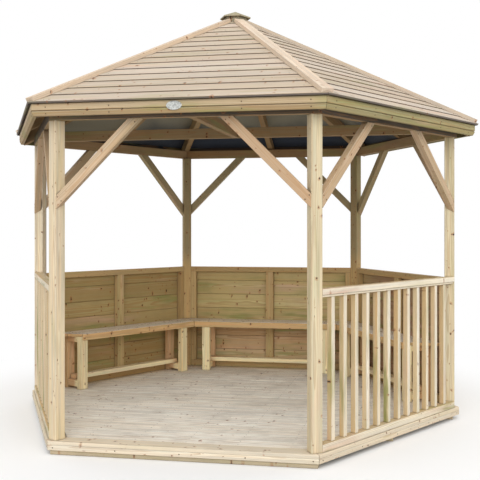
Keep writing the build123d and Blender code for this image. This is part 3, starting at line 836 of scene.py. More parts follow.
# ---------------------------------------------------------------- timbers in mesh code
class Timbers:
    """Collects the eased timbers of one piece, with the grain of each."""

    def __init__(self, name):
        self.name = name
        self.draw = random.Random(name)
        self.points, self.faces, self.grain, self.tone = [], [], [], []

    def take(self, solid, ease, along=None):
        """Eases one timber's arrises and adds it; its grain runs as given, or along its
        longest edge."""
        if along is None:
            longest = max(solid.edges, key=lambda edge: edge.calc_length())
            along = longest.verts[1].co - longest.verts[0].co
        along = along.normalized()
        sides = {face: 1 - abs(face.normal.dot(along)) for face in solid.faces}
        broad = max(solid.faces, key=lambda face: face.calc_area() * sides[face])
        depth = (broad.normal - broad.normal.dot(along) * along).normalized()
        across = depth.cross(along)
        middle = sum((vert.co for vert in solid.verts), Vector()) / len(solid.verts)
        arrises = [edge for edge in solid.edges if edge.calc_face_angle(0.0) > SHARP_ANGLE]
        bmesh.ops.bevel(
            solid,
            geom=arrises,
            offset=ease,
            segments=2,
            profile=0.5,
            affect="EDGES",
            clamp_overlap=True,
        )
        reach = [abs((vert.co - middle).dot(depth)) for vert in solid.verts]
        width = [abs((vert.co - middle).dot(across)) for vert in solid.verts]
        square = max(reach) > SQUARE_SHARE * max(width)
        aside, least, most = PITH_IN_SQUARES if square else PITH_IN_BOARDS
        pith = Vector((0, self.draw.uniform(-aside, aside), self.draw.uniform(least, most)))
        start = pith + Vector((self.draw.uniform(0, GRAIN_RUN), 0, 0))
        tone = self.draw.random()
        base = len(self.points)
        for vert in solid.verts:
            local = vert.co - middle
            place = Vector([local.dot(way) for way in (along, across, depth)])
            self.grain.append(start + place)
            self.tone.append(tone)
            self.points.append(vert.co.copy())
        solid.verts.index_update()
        for face in solid.faces:
            self.faces.append([base + vert.index for vert in face.verts])
        solid.free()

    def prism(self, start, end, ease, along=None):
        """Timber between two end faces whose corners are given in the same order."""
        solid = bmesh.new()
        first = [solid.verts.new(point) for point in start]
        last = [solid.verts.new(point) for point in end]
        count = len(first)
        solid.faces.new(first)
        solid.faces.new(list(reversed(last)))
        for corner in range(count):
            following = (corner + 1) % count
            solid.faces.new((first[corner], last[corner], last[following], first[following]))
        bmesh.ops.recalc_face_normals(solid, faces=solid.faces)
        if solid.calc_volume(signed=True) < 0:
            bmesh.ops.reverse_faces(solid, faces=solid.faces)
        if along is None:
            along = sum(end, Vector()) / count - sum(start, Vector()) / count
        self.take(solid, ease, along)

    def bar(self, inner, outer, half_inner, half_outer, bottom, top, ease):
        """Timber along the front bay whose plan is a trapezoid."""
        ends = [
            [
                Vector((way * half_inner, -inner, bottom)),
                Vector((way * half_outer, -outer, bottom)),
                Vector((way * half_outer, -outer, top)),
                Vector((way * half_inner, -inner, top)),
            ]
            for way in (-1, 1)
        ]
        self.prism(*ends, ease)

    def upright(self, plan, bottom, top, ease):
        """Timber that stands on a plan given as (x, flat) corners."""
        ends = [[Vector((x, -flat, z)) for x, flat in plan] for z in (bottom, top)]
        self.prism(*ends, ease)

    def from_frame(self, node, ease):
        """Every solid of a node of the frame, as an eased timber."""
        whole = bmesh.new()
        whole.from_mesh(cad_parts[node].data)
        bmesh.ops.remove_doubles(whole, verts=whole.verts, dist=1e-5)
        bmesh.ops.dissolve_limit(
            whole, angle_limit=radians(0.5), verts=whole.verts, edges=whole.edges
        )
        waiting = set(whole.verts)
        while waiting:
            seed = min(waiting, key=lambda vert: vert.index)
            island, edge_of_island = {seed}, [seed]
            while edge_of_island:
                vert = edge_of_island.pop()
                for edge in vert.link_edges:
                    other = edge.other_vert(vert)
                    if other not in island:
                        island.add(other)
                        edge_of_island.append(other)
            waiting -= island
            self.take(self.copied(whole, island), ease)
        whole.free()

    @staticmethod
    def copied(whole, island):
        """One solid of a mesh, by itself."""
        solid = bmesh.new()
        ordered = sorted(island, key=lambda vert: vert.index)
        twin = {vert: solid.verts.new(vert.co) for vert in ordered}
        for face in whole.faces:
            if face.verts[0] in twin:
                solid.faces.new([twin[vert] for vert in face.verts])
        solid.normal_update()
        return solid

    def take_mesh(self, mesh, matrix=None):
        """Adds a mesh that has its grain and tone already."""
        base = len(self.points)
        place = matrix or Matrix.Identity(4)
        self.points += [place @ vert.co for vert in mesh.vertices]
        self.faces += [[base + index for index in face.vertices] for face in mesh.polygons]
        self.grain += [Vector(item.vector) for item in mesh.attributes["grain"].data]
        self.tone += [item.value for item in mesh.attributes["tone"].data]

    def mesh(self, turned=None):
        """The finished mesh, turned to its side of the hexagon."""
        made = bpy.data.meshes.new(self.name)
        made.from_pydata([tuple(point) for point in self.points], [], self.faces)
        grain = made.attributes.new("grain", "FLOAT_VECTOR", "POINT")
        grain.data.foreach_set("vector", [value for item in self.grain for value in item])
        tone = made.attributes.new("tone", "FLOAT", "POINT")
        tone.data.foreach_set("value", self.tone)
        if turned is not None:
            made.transform(turned)
        made.update()
        return made


def show(mesh, name, replaced=(), material=None):
    """Puts a finished mesh in the scene as a piece that rides on the frame."""
    piece = bpy.data.objects.new(name, mesh)
    bpy.context.scene.collection.objects.link(piece)
    if material is not None:
        mesh.materials.clear()
        mesh.materials.append(material)
    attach(piece, "root")
    if replaced:
        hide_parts(*replaced)
    return piece


def stand(timbers, slot_name, finish=None, turned=None):
    """Shows finished timbers in place of the node of the frame that they are named after."""
    node = timbers.name
    show(timbers.mesh(turned), f"{node}_timber", [node], wood(finish or slot_name))


def dress(node, slot_name, ease, finish=None):
    """Stands an eased and grained copy of a node of the frame in its place."""
    timbers = Timbers(node)
    timbers.from_frame(node, ease)
    stand(timbers, slot_name, finish)


# ---------------------------------------------------------------- geometry node trees
def board_row_tree():
    """Row of like boards, each stretched to the length that its place calls for."""
    takes = [
        ("Geometry", SHAPE),
        ("Count", "NodeSocketInt", 1),
        ("Cover", NUMBER, 0.1),
        ("Start", NUMBER, 0.0),
        ("Half Length", NUMBER, 0.5),
        ("Taper", NUMBER, 0.0),
        ("Depth Gain", NUMBER, 0.0),
        ("Both Ways", "NodeSocketBool", False),
        ("Unevenness", NUMBER, 0.0),
        ("Seed", "NodeSocketInt", 0),
        ("Finish", "NodeSocketMaterial"),
    ]
    w, given, result = open_group(
        "gazebo_board_row", "GeometryNodeTree", takes, [("Geometry", SHAPE)]
    )

    def stored(shape, label, value, data_type, domain="POINT"):
        feeds = {"Geometry": shape, "Name": label, "Value": value}
        return w.add(
            "GeometryNodeStoreNamedAttribute", feeds, data_type=data_type, domain=domain
        ).outputs[0]

    def recalled(label, data_type):
        node = w.add("GeometryNodeInputNamedAttribute", {"Name": label}, data_type=data_type)
        return pick(node.outputs, "Attribute")

    def chance(data_type, least, most, seed):
        feeds = {"Min": least, "Max": most, "ID": number, "Seed": seed}
        node = w.add("FunctionNodeRandomValue", feeds, data_type=data_type)
        return pick(node.outputs, "Value")

    position = w.add("GeometryNodeInputPosition").outputs[0]
    blank = stored(given["Geometry"], "place", position, "FLOAT_VECTOR")
    line = w.add(
        "GeometryNodeMeshLine",
        {
            "Count": given["Count"],
            "Start Location": w.joined(0.0, given["Start"], 0.0),
            "Offset": w.joined(0.0, given["Cover"], 0.0),
        },
        mode="OFFSET",
    )
    copies = w.add(
        "GeometryNodeInstanceOnPoints", {"Points": line.outputs[0], "Instance": blank}
    )
    index = w.add("GeometryNodeInputIndex").outputs[0]
    marked = stored(copies.outputs[0], "board", index, "INT", "INSTANCE")
    loose = w.add("GeometryNodeRealizeInstances", {"Geometry": marked}).outputs[0]

    number = recalled("board", "INT")
    x, y, z = w.parts(position)
    ways = {"Switch": given["Both Ways"], "False": y, "True": w.math("ABSOLUTE", y)}
    run = w.add("GeometryNodeSwitch", ways, input_type="FLOAT").outputs[0]
    narrowed = w.math("MULTIPLY", run, given["Taper"])
    half = w.math("SUBTRACT", given["Half Length"], narrowed)
    half = w.math("ADD", half, w.math("MULTIPLY", z, given["Depth Gain"]))
    inset = w.math("SUBTRACT", BLANK_HALF, w.math("ABSOLUTE", x))
    stretched = w.math("MAXIMUM", w.math("SUBTRACT", half, inset), LEAST_HALF)
    across = w.math("MULTIPLY", w.math("SIGN", x), stretched)
    wide = w.joined(0.0, given["Unevenness"], given["Unevenness"])
    shift = chance("FLOAT_VECTOR", w.vector("SCALE", wide, Scale=-1.0), wide, given["Seed"])
    placed = w.add(
        "GeometryNodeSetPosition",
        {"Geometry": loose, "Position": w.joined(across, y, z), "Offset": shift},
    ).outputs[0]

    aside, least, most = PITH_IN_ROWS
    next_seed = w.math("ADD", given["Seed"], 1.0)
    start = chance("FLOAT_VECTOR", (0.0, -aside, least), (GRAIN_RUN, aside, most), next_seed)
    local = w.parts(recalled("place", "FLOAT_VECTOR"))
    length = w.parts(position)[0]
    grain = w.vector("ADD", w.joined(length, local[1], local[2]), start)
    grained = stored(placed, "grain", grain, "FLOAT_VECTOR")
    tone = chance("FLOAT", 0.0, 1.0, w.math("ADD", given["Seed"], 2.0))
    toned = stored(grained, "tone", tone, "FLOAT")
    for label in ("place", "board"):
        toned = w.add(
            "GeometryNodeRemoveAttribute", {"Geometry": toned, "Name": label}
        ).outputs[0]
    coated = w.add(
        "GeometryNodeSetMaterial", {"Geometry": toned, "Material": given["Finish"]}
    ).outputs[0]
    w.feed(result["Geometry"], coated)
    return w.tree


def heads_tree():
    """Screw or nail heads on points, each square to its surface and turned at random."""
    takes = [
        ("Geometry", SHAPE),
        ("Radius", NUMBER, 0.004),
        ("Seed", "NodeSocketInt", 0),
        ("Finish", "NodeSocketMaterial"),
    ]
    w, given, result = open_group(
        "gazebo_heads", "GeometryNodeTree", takes, [("Geometry", SHAPE)]
    )
    head = w.add(
        "GeometryNodeMeshCone",
        {
            "Vertices": 8,
            "Radius Top": w.math("MULTIPLY", given["Radius"], HEAD_TOP_SHARE),
            "Radius Bottom": given["Radius"],
            "Depth": HEAD_HEIGHT,
        },
    ).outputs[0]
    length, width = (w.math("MULTIPLY", given["Radius"], share) for share in SLOT_SHARES)
    slot = w.add(
        "GeometryNodeMeshCube", {"Size": w.joined(length, width, SLOT_HEIGHT)}
    ).outputs[0]
    raised = w.add(
        "GeometryNodeTransform", {"Geometry": slot, "Translation": (0.0, 0.0, SLOT_LIFT)}
    ).outputs[0]
    both = w.add("GeometryNodeJoinGeometry")
    for shape in (head, raised):
        w.tree.links.new(shape, both.inputs[0])
    facing = w.add(
        "GeometryNodeInputNamedAttribute", {"Name": "facing"}, data_type="FLOAT_VECTOR"
    )
    turned = w.add(
        "FunctionNodeAlignRotationToVector",
        {"Vector": pick(facing.outputs, "Attribute")},
        axis="Z",
    ).outputs[0]
    copies = w.add(
        "GeometryNodeInstanceOnPoints",
        {"Points": given["Geometry"], "Instance": both.outputs[0], "Rotation": turned},
    ).outputs[0]
    turns = {"Min": 0.0, "Max": pi, "Seed": given["Seed"]}
    spin = w.add("FunctionNodeRandomValue", turns, data_type="FLOAT")
    spun = w.add(
        "GeometryNodeRotateInstances",
        {
            "Instances": copies,
            "Rotation": w.joined(0.0, 0.0, pick(spin.outputs, "Value")),
            "Local Space": True,
        },
    ).outputs[0]
    loose = w.add("GeometryNodeRealizeInstances", {"Geometry": spun}).outputs[0]
    coated = w.add(
        "GeometryNodeSetMaterial", {"Geometry": loose, "Material": given["Finish"]}
    ).outputs[0]
    w.feed(result["Geometry"], coated)
    return w.tree


def grown(name, mesh, maker, values):
    """Plain mesh of what a geometry node tree makes of a mesh."""
    tree = group_of(maker)
    carrier = bpy.data.objects.new(name, mesh)
    bpy.context.scene.collection.objects.link(carrier)
    modifier = carrier.modifiers.new(name, "NODES")
    modifier.node_group = tree
    identifiers = {
        item.name: item.identifier
        for item in tree.interface.items_tree
        if item.item_type == "SOCKET" and item.in_out == "INPUT"
    }
    for label, value in values.items():
        modifier[identifiers[label]] = value
    graph = bpy.context.evaluated_depsgraph_get()
    made = bpy.data.meshes.new_from_object(
        carrier.evaluated_get(graph), preserve_all_data_layers=True, depsgraph=graph
    )
    carrier.modifiers.remove(modifier)
    bpy.data.objects.remove(carrier)
    return made


def board_row(name, section, ease, values):
    """Row of boards that all have one section, given as (across, depth) corners.

    What the values leave out stays as the board row's own sockets have it.
    """
    blank = Timbers(f"{name}_blank")
    ends = [[Vector((way * BLANK_HALF, y, z)) for y, z in section] for way in (-1, 1)]
    blank.prism(*ends, ease)
    return grown(name, blank.mesh(), board_row_tree, values)


def oblong(width, depth):
    """Section of a plain board round its own middle."""
    return [
        (-width / 2, -depth / 2),
        (width / 2, -depth / 2),
        (width / 2, depth / 2),
        (-width / 2, depth / 2),
    ]


# ---------------------------------------------------------------- operators
class GAZEBO_OT_floor(bpy.types.Operator):
    """Lay the bearers, joists, rim, edge boards and deck boards"""

    bl_idname = "gazebo.floor"
    bl_label = "Floor"

    def execute(self, context):
        sizes = settings()[0]
        for node in ("bearers", "floor_joists"):
            dress(node, "floor_timbers", sizes.timber_easing)
        for node in ("floor_rim", "deck_edge"):
            dress(node, "deck_edge", sizes.timber_easing)
        thickness = DECK_TOP - DECK_BOTTOM
        cover = 2 * FIELD_FLAT / DECK_BOARD_COUNT
        boards = board_row(
            "deck_boards",
            oblong(cover - sizes.deck_gap, thickness),
            sizes.board_easing,
            {
                "Count": DECK_BOARD_COUNT,
                "Cover": cover,
                "Start": cover / 2 - FIELD_FLAT,
                "Half Length": FIELD_FLAT / cos(HALF_TURN) - sizes.deck_gap,
                "Taper": tan(HALF_TURN),
                "Both Ways": True,
                "Seed": 11,
                "Finish": wood("deck_boards"),
            },
        )
        boards.transform(Matrix.Translation((0, 0, (DECK_TOP + DECK_BOTTOM) / 2)))
        show(boards, "deck_boards_timber", ["deck_boards"])
        return {"FINISHED"}


class GAZEBO_OT_posts(bpy.types.Operator):
    """Stand the six posts, with the ring beams and knee braces on them"""

    bl_idname = "gazebo.posts"
    bl_label = "Posts and beams"

    def execute(self, context):
        sizes = settings()[0]
        for name in POST_NAMES:
            finish = "rear_posts" if name in REAR_POSTS else "posts"
            dress(f"post_{name}", "posts", sizes.board_easing, finish)
        for name in SIDE_NAMES:
            dress(f"beam_{name}", "roof_timbers", sizes.timber_easing)
        dress("knee_braces", "posts", sizes.timber_easing, "braces")
        return {"FINISHED"}


class GAZEBO_OT_roof_timbers(bpy.types.Operator):
    """Set the rafters, ties, king block and underlay under the roof boards"""

    bl_idname = "gazebo.roof_timbers"
    bl_label = "Roof timbers"

    def execute(self, context):
        sizes = settings()[0]
        for node in ("hip_rafters", "middle_rafters", "king_block", "cross_tie", "front_tie"):
            dress(node, "roof_timbers", sizes.timber_easing)
        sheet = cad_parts["underlay"].data
        sheet.materials.clear()
        sheet.materials.append(membrane())
        return {"FINISHED"}


class GAZEBO_OT_roof_boards(bpy.types.Operator):
    """Lay the courses of lapped boards on the six slopes"""

    bl_idname = "gazebo.roof_boards"
    bl_label = "Roof boards"

    def execute(self, context):
        sizes = settings()[0]
        joint = sizes.board_easing / 4
        lap = [
            (joint, 0.0),
            (COURSE_COVER - joint, 0.0),
            (COURSE_COVER - joint, BOARD_TIP),
            (joint, BOARD_BUTT),
        ]
        for index, side in enumerate(SIDE_NAMES):
            boards = board_row(
                f"roof_{side}",
                lap,
                sizes.board_easing,
                {
                    "Count": COURSE_COUNT,
                    "Cover": COURSE_COVER,
                    "Half Length": half_side(EAVE_FLAT) - END_CLEARANCE,
                    "Taper": cos(ROOF_PITCH) * tan(HALF_TURN),
                    "Depth Gain": sin(ROOF_PITCH) * tan(HALF_TURN),
                    "Seed": 100 + 10 * index,
                    "Finish": wood("roof_boards"),
                },
            )
            boards.transform(side_turn(index) @ front_slope())
            show(boards, f"roof_{side}_boards", [f"roof_{side}"])
        return {"FINISHED"}


class GAZEBO_OT_roof_trim(bpy.types.Operator):
    """Fix the fascia, the hip boards and the apex cap"""

    bl_idname = "gazebo.roof_trim"
    bl_label = "Fascia, hip boards and cap"

    def execute(self, context):
        sizes = settings()[0]
        dress("fascia", "fascia", sizes.board_easing)
        self.hips(sizes)
        self.cap(sizes)
        return {"FINISHED"}

    @staticmethod
    def hips(sizes):
        """Six boards along the hips, pressed on to the laps of the roof boards."""
        slope = atan(tan(ROOF_PITCH) * cos(HALF_TURN))
        fall = sin(HALF_TURN) * tan(ROOF_PITCH) * cos(slope)
        corner = EAVE_FLAT / cos(HALF_TURN)
        ridge_z = EAVE_Z + BOARD_BUTT / cos(ROOF_PITCH)
        rise = Vector((-cos(slope), 0, sin(slope)))
        across = Vector((0, 1, 0))
        square = Vector((sin(slope), 0, cos(slope)))
        half, press = HIP_BOARD_WIDTH / 2, sizes.hip_press
        section = [
            (-half, HIP_BOARD_THICKNESS),
            (-half, -half * fall - press),
            (0.0, -press),
            (half, -half * fall - press),
            (half, HIP_BOARD_THICKNESS),
        ]
        reach = (corner - APEX_SEAT_RADIUS) / cos(slope)
        timbers = Timbers("hip_boards")
        foot = Vector((corner, 0, ridge_z))
        for index in range(len(SIDE_NAMES)):
            turned = side_turn(index)
            ends = [
                [turned @ (foot + run * rise + off * across + up * square) for off, up in section]
                for run in (HIP_BOARD_SETBACK, reach)
            ]
            timbers.prism(*ends, sizes.board_easing, turned.to_3x3() @ rise)
        stand(timbers, "hip_boards")

    @staticmethod
    def cap(sizes):
        """Six boards of the apex cap, on the block that carries them."""
        tip = high("apex_cap").z
        lip = tip - APEX_CAP_FLAT * tan(APEX_CAP_PITCH)
        timbers = Timbers("apex_cap")
        half = half_side(APEX_CAP_FLAT) - CAP_JOINT
        plan = [(0.0, CAP_JOINT, tip), (half, APEX_CAP_FLAT, lip), (-half, APEX_CAP_FLAT, lip)]
        for index in range(len(SIDE_NAMES)):
            turned = side_turn(index)
            ends = [
                [turned @ Vector((x, -flat, z - drop)) for x, flat, z in plan]
                for drop in (APEX_CAP_EDGE, 0.0)
            ]
            grain = turned.to_3x3() @ Vector((1, 0, 0))
            timbers.prism(*ends, sizes.board_easing, grain)
        corner = Vector((APEX_SEAT_RADIUS, 0, 0))
        ring = [side_turn(index).to_3x3() @ corner for index in range(len(SIDE_NAMES))]
        seat_top = tip - APEX_SEAT_RADIUS * cos(HALF_TURN) * tan(APEX_CAP_PITCH) - APEX_CAP_EDGE
        seat = (low("apex_cap").z, seat_top)
        ends = [[point + Vector((0, 0, z)) for point in ring] for z in seat]
        timbers.prism(*ends, sizes.board_easing, Vector((1, 0, 0)))
        show(timbers.mesh(), "apex_cap_boards", ["apex_cap"], wood("apex_cap"))


class GAZEBO_OT_walls(bpy.types.Operator):
    """Build the half-height wall panels: frames and matched boards"""

    bl_idname = "gazebo.walls"
    bl_label = "Wall panels"

    def execute(self, context):
        sizes = settings()[0]
        ease = sizes.timber_easing
        rail_bottom = WALL_TOP - WALL_RAIL_HEIGHT
        foot_top = DECK_TOP + WALL_FOOT_HEIGHT
        span_inner, span_skin = half_span(WALL_INNER), half_span(WALL_SKIN)
        stud, middle = span_inner - SIDE_STUD_WIDTH, MIDDLE_STUD_WIDTH / 2
        for side in WALL_SIDES:
            turned = side_turn(SIDE_NAMES.index(side))
            timbers = Timbers(f"wall_frame_{side}")
            for bottom, top in ((rail_bottom, WALL_TOP), (DECK_TOP, foot_top)):
                timbers.bar(WALL_INNER, WALL_SKIN, span_inner, span_skin, bottom, top, ease)
            for start, inner_end, skin_end in (
                (-middle, middle, middle),
                (-stud, -span_inner, -span_skin),
                (stud, span_inner, span_skin),
            ):
                plan = [
                    (start, WALL_INNER),
                    (inner_end, WALL_INNER),
                    (skin_end, WALL_SKIN),
                    (start, WALL_SKIN),
                ]
                timbers.upright(plan, foot_top, rail_bottom, ease)
            stand(timbers, "wall_frames", turned=turned)
            self.boards(side, turned, sizes)
        return {"FINISHED"}

    @staticmethod
    def boards(side, turned, sizes):
        """Matched boards on the outside of one panel, over a plain one cut to the rest."""
        thickness = WALL_OUTER - WALL_SKIN
        upright = Matrix(
            (
                (1, 0, 0, 0),
                (0, 0, -1, -WALL_SKIN - thickness / 2),
                (0, 1, 0, 0),
                (0, 0, 0, 1),
            )
        )
        half_cover, depth, bevel = WALL_BOARD_COVER / 2, thickness / 2, sizes.wall_joint
        face, edge = half_cover - bevel, half_cover - PANEL_JOINT
        matched = [
            (-face, -depth),
            (face, -depth),
            (edge, bevel - depth),
            (edge, depth - bevel),
            (face, depth),
            (-face, depth),
            (-edge, depth - bevel),
            (-edge, bevel - depth),
        ]
        skin = board_row(
            f"wall_boards_{side}",
            matched,
            sizes.board_easing / 4,
            {
                "Count": WALL_BOARD_COUNT,
                "Cover": WALL_BOARD_COVER,
                "Start": WALL_TOP - (WALL_BOARD_COUNT - 0.5) * WALL_BOARD_COVER,
                "Half Length": half_span((WALL_SKIN + WALL_OUTER) / 2) - END_CLEARANCE,
                "Depth Gain": tan(HALF_TURN),
                "Seed": 300 + 10 * WALL_SIDES.index(side),
                "Finish": wood("wall_boards"),
            },
        )
        timbers = Timbers(f"wall_boards_{side}")
        timbers.take_mesh(skin, upright)
        rest_top = WALL_TOP - WALL_BOARD_COUNT * WALL_BOARD_COVER - PANEL_JOINT
        timbers.bar(
            WALL_SKIN,
            WALL_OUTER,
            half_span(WALL_SKIN),
            half_span(WALL_OUTER),
            DECK_TOP,
            rest_top,
            sizes.board_easing,
        )
        stand(timbers, "wall_boards", turned=turned)


class GAZEBO_OT_balustrades(bpy.types.Operator):
    """Build the two balustrades beside the entrance"""

    bl_idname = "gazebo.balustrades"
    bl_label = "Balustrades"

    def execute(self, context):
        sizes = settings()[0]
        ease = sizes.timber_easing
        rail_bottom = HANDRAIL_TOP - HANDRAIL_HEIGHT
        strip_bottom = rail_bottom - HANDRAIL_STRIP
        foot_top = DECK_TOP + FOOT_RAIL_HEIGHT
        centre = (WALL_INNER + OUTER_ARRIS) / 2
        strip = (centre - HANDRAIL_STRIP_DEPTH / 2, centre + HANDRAIL_STRIP_DEPTH / 2)
        rail = (WALL_INNER, OUTER_ARRIS)
        gap = (2 * half_span(centre) - BALUSTER_COUNT * BALUSTER_SIZE) / (BALUSTER_COUNT + 1)
        pitch = gap + BALUSTER_SIZE
        standing = Matrix(
            (
                (0, 1, 0, 0),
                (0, 0, 1, -centre),
                (1, 0, 0, (strip_bottom + foot_top) / 2),
                (0, 0, 0, 1),
            )
        )
        for side in BALUSTRADE_SIDES:
            row = board_row(
                f"balustrade_{side}",
                oblong(BALUSTER_SIZE, BALUSTER_SIZE),
                ease,
                {
                    "Count": BALUSTER_COUNT,
                    "Cover": pitch,
                    "Start": -(BALUSTER_COUNT - 1) * pitch / 2,
                    "Half Length": (strip_bottom - foot_top) / 2,
                    "Unevenness": sizes.unevenness,
                    "Seed": 500 + 10 * BALUSTRADE_SIDES.index(side),
                    "Finish": wood("balustrades"),
                },
            )
            timbers = Timbers(f"balustrade_{side}")
            timbers.take_mesh(row, standing)
            for (inner, outer), bottom, top in (
                (rail, rail_bottom, HANDRAIL_TOP),
                (strip, strip_bottom, rail_bottom),
                (rail, DECK_TOP, foot_top),
            ):
                timbers.bar(inner, outer, half_span(inner), half_span(outer), bottom, top, ease)
            stand(timbers, "balustrades", turned=side_turn(SIDE_NAMES.index(side)))
        return {"FINISHED"}


class GAZEBO_OT_benches(bpy.types.Operator):
    """Build the three benches along the walls"""

    bl_idname = "gazebo.benches"
    bl_label = "Benches"

    def execute(self, context):
        sizes = settings()[0]
        ease = sizes.timber_easing
        back = WALL_INNER - LEG_THICKNESS
        bearer_bottom = BOARD_BOTTOM - LEG_THICKNESS
        rail_bottom = DECK_TOP + LEG_RAIL_LIFT
        rail_top = rail_bottom + LEG_RAIL_HEIGHT
        for side in WALL_SIDES:
            dress(f"bench_seat_{side}", "benches", ease)
            timbers = Timbers(f"bench_legs_{side}")
            for way in (-1, 1):
                edges = (way * LEG_OFFSET - LEG_WIDTH / 2, way * LEG_OFFSET + LEG_WIDTH / 2)
                for near in (LEG_FRONT, back):
                    far = near + LEG_THICKNESS
                    plan = [(edges[0], near), (edges[1], near), (edges[1], far), (edges[0], far)]
                    timbers.upright(plan, DECK_TOP, BOARD_BOTTOM, ease)
                for bottom, top in ((rail_bottom, rail_top), (bearer_bottom, BOARD_BOTTOM)):
                    section = [(x, bottom) for x in edges] + [(x, top) for x in reversed(edges)]
                    ends = [
                        [Vector((x, -flat, z)) for x, z in section]
                        for flat in (LEG_FRONT + LEG_THICKNESS, back)
                    ]
                    timbers.prism(*ends, ease)
            half_length = STRETCHER_LENGTH / 2
            timbers.bar(
                back - STRETCHER_WIDTH,
                back,
                half_length,
                half_length,
                rail_top,
                rail_top + STRETCHER_HEIGHT,
                ease,
            )
            turned = side_turn(SIDE_NAMES.index(side))
            stand(timbers, "benches", "bench_legs", turned)
        return {"FINISHED"}


class GAZEBO_OT_fixings(bpy.types.Operator):
    """Drive the screws and nails, and fix the blank oval plate"""

    bl_idname = "gazebo.fixings"
    bl_label = "Fixings"

    def execute(self, context):
        sizes, colours = settings()
        zinc = metal("zinc", colours.zinc, 0.42)
        self.drive("roof_nails", on_sides(self.roof_nails), sizes.nail_radius, zinc, 21)
        steel = metal("steel", colours.steel, 0.5)
        self.drive("deck_screws", self.deck_screws(), sizes.screw_radius, steel, 22)
        self.drive("eave_screws", on_sides(self.eave_screws), sizes.screw_radius, zinc, 23)
        self.drive("brace_screws", on_sides(self.brace_screws), sizes.screw_radius, zinc, 24)
        rear = on_sides(self.rear_fixings, WALL_SIDES)
        self.drive("wall_and_bench_screws", rear, sizes.nail_radius, zinc, 25)
        self.oval_plate(sizes, metal("plate", colours.plate, 0.35))
        return {"FINISHED"}

    @staticmethod
    def drive(name, places, radius, material, seed):
        """Heads at (point, outward direction) places."""
        points = bpy.data.meshes.new(name)
        points.from_pydata([tuple(point) for point, facing in places], [], [])
        facings = points.attributes.new("facing", "FLOAT_VECTOR", "POINT")
        facings.data.foreach_set("vector", [value for point, facing in places for value in facing])
        heads = grown(
            name, points, heads_tree, {"Radius": radius, "Seed": seed, "Finish": material}
        )
        show(heads, name)

    @staticmethod
    def roof_nails(turned):
        """Nails in each course of one slope: beside both hips and over the middle rafter."""
        place = turned @ front_slope()
        thinning = BOARD_BUTT - BOARD_TIP
        facing = (place.to_3x3() @ Vector((0, thinning / COURSE_COVER, 1))).normalized()
        rise = BOARD_BUTT - ROOF_NAIL_SHARE * thinning
        nails = []
        for course in range(COURSE_COUNT):
            run = (course + ROOF_NAIL_SHARE) * COURSE_COVER
            half = half_side(EAVE_FLAT - run * cos(ROOF_PITCH)) - ROOF_NAIL_INSET
            if half > LEAST_NAILED_HALF:
                for x in (-half, 0.0, half):
                    nails.append((place @ Vector((x, run, rise)), facing))
        return nails

    @staticmethod
    def deck_screws():
        """Pairs of screws where the deck boards cross the joists."""
        cover = 2 * FIELD_FLAT / DECK_BOARD_COUNT
        joist_corner = (DECK_FLAT - RIM_THICKNESS) / cos(HALF_TURN)
        corner, slant = FIELD_FLAT / cos(HALF_TURN), tan(HALF_TURN)
        screws = []
        for joist in range(JOIST_COUNT):
            x = (joist + 1) * 2 * joist_corner / (JOIST_COUNT + 1) - joist_corner
            for board in range(DECK_BOARD_COUNT):
                middle = (board + 0.5) * cover - FIELD_FLAT
                for off in (-DECK_SCREW_SHARE * cover, DECK_SCREW_SHARE * cover):
                    y = middle + off
                    if abs(x) < corner - abs(y) * slant - DECK_SCREW_INSET:
                        screws.append((Vector((x, y, DECK_TOP)), Vector((0, 0, 1))))
        return screws

    @staticmethod
    def eave_screws(turned):
        """Screws in the fascia and the edge of the floor on one side."""
        facing = turned.to_3x3() @ Vector((0, -1, 0))
        groove = EAVE_Z - FASCIA_GROOVE_DROP
        bottom, bevel_top = low("fascia").z, groove - FASCIA_GROOVE / 2
        leaning = Vector((0, bottom - bevel_top, -FASCIA_BEVEL)).normalized()
        screws = []
        for step in (-2, -1, 1, 2):
            x = step * EDGE_SCREW_STEP
            screws.append((turned @ Vector((x, -FASCIA_OUTER, (groove + EAVE_Z) / 2)), facing))
            middle = Vector((x, FASCIA_BEVEL / 2 - FASCIA_OUTER, (bottom + bevel_top) / 2))
            screws.append((turned @ middle, turned.to_3x3() @ leaning))
        middle = (RIM_BOTTOM + DECK_BOTTOM) / 2
        for step in range(-2, 3):
            place = Vector((step * EDGE_SCREW_STEP, -DECK_FLAT, middle))
            screws.append((turned @ place, facing))
        return screws

    @staticmethod
    def brace_screws(turned):
        """Screws at both ends of the two braces of one side."""
        facing = turned.to_3x3() @ Vector((0, -1, 0))
        line = half_span(OUTER_ARRIS)
        drop = BEAM_BOTTOM - low("knee_braces").z
        screws = []
        for way in (-1, 1):
            for run in (BRACE_SCREW_FOOT, drop - BRACE_SCREW_HEAD):
                for off in (-BRACE_SCREW_SPREAD, BRACE_SCREW_SPREAD):
                    rise = BRACE_WIDTH / 2 * (1 + off) / sqrt(2)
                    x = line - run + rise
                    z = BEAM_BOTTOM - drop + run + rise
                    screws.append((turned @ Vector((way * x, -OUTER_ARRIS, z)), facing))
        return screws

    def rear_fixings(self, turned):
        """Nails of one wall panel and screws of the bench along it."""
        return self.wall_nails(turned) + self.bench_screws(turned)

    @staticmethod
    def wall_nails(turned):
        """Nails through the wall boards into the studs of one panel."""
        facing = turned.to_3x3() @ Vector((0, -1, 0))
        stud = half_span(WALL_INNER) - SIDE_STUD_WIDTH / 2
        nails = []
        for board in range(WALL_BOARD_COUNT):
            for share in WALL_NAIL_SHARES:
                z = WALL_TOP - (board + share) * WALL_BOARD_COVER
                for x in (-stud, 0.0, stud):
                    nails.append((turned @ Vector((x, -WALL_OUTER, z)), facing))
        return nails

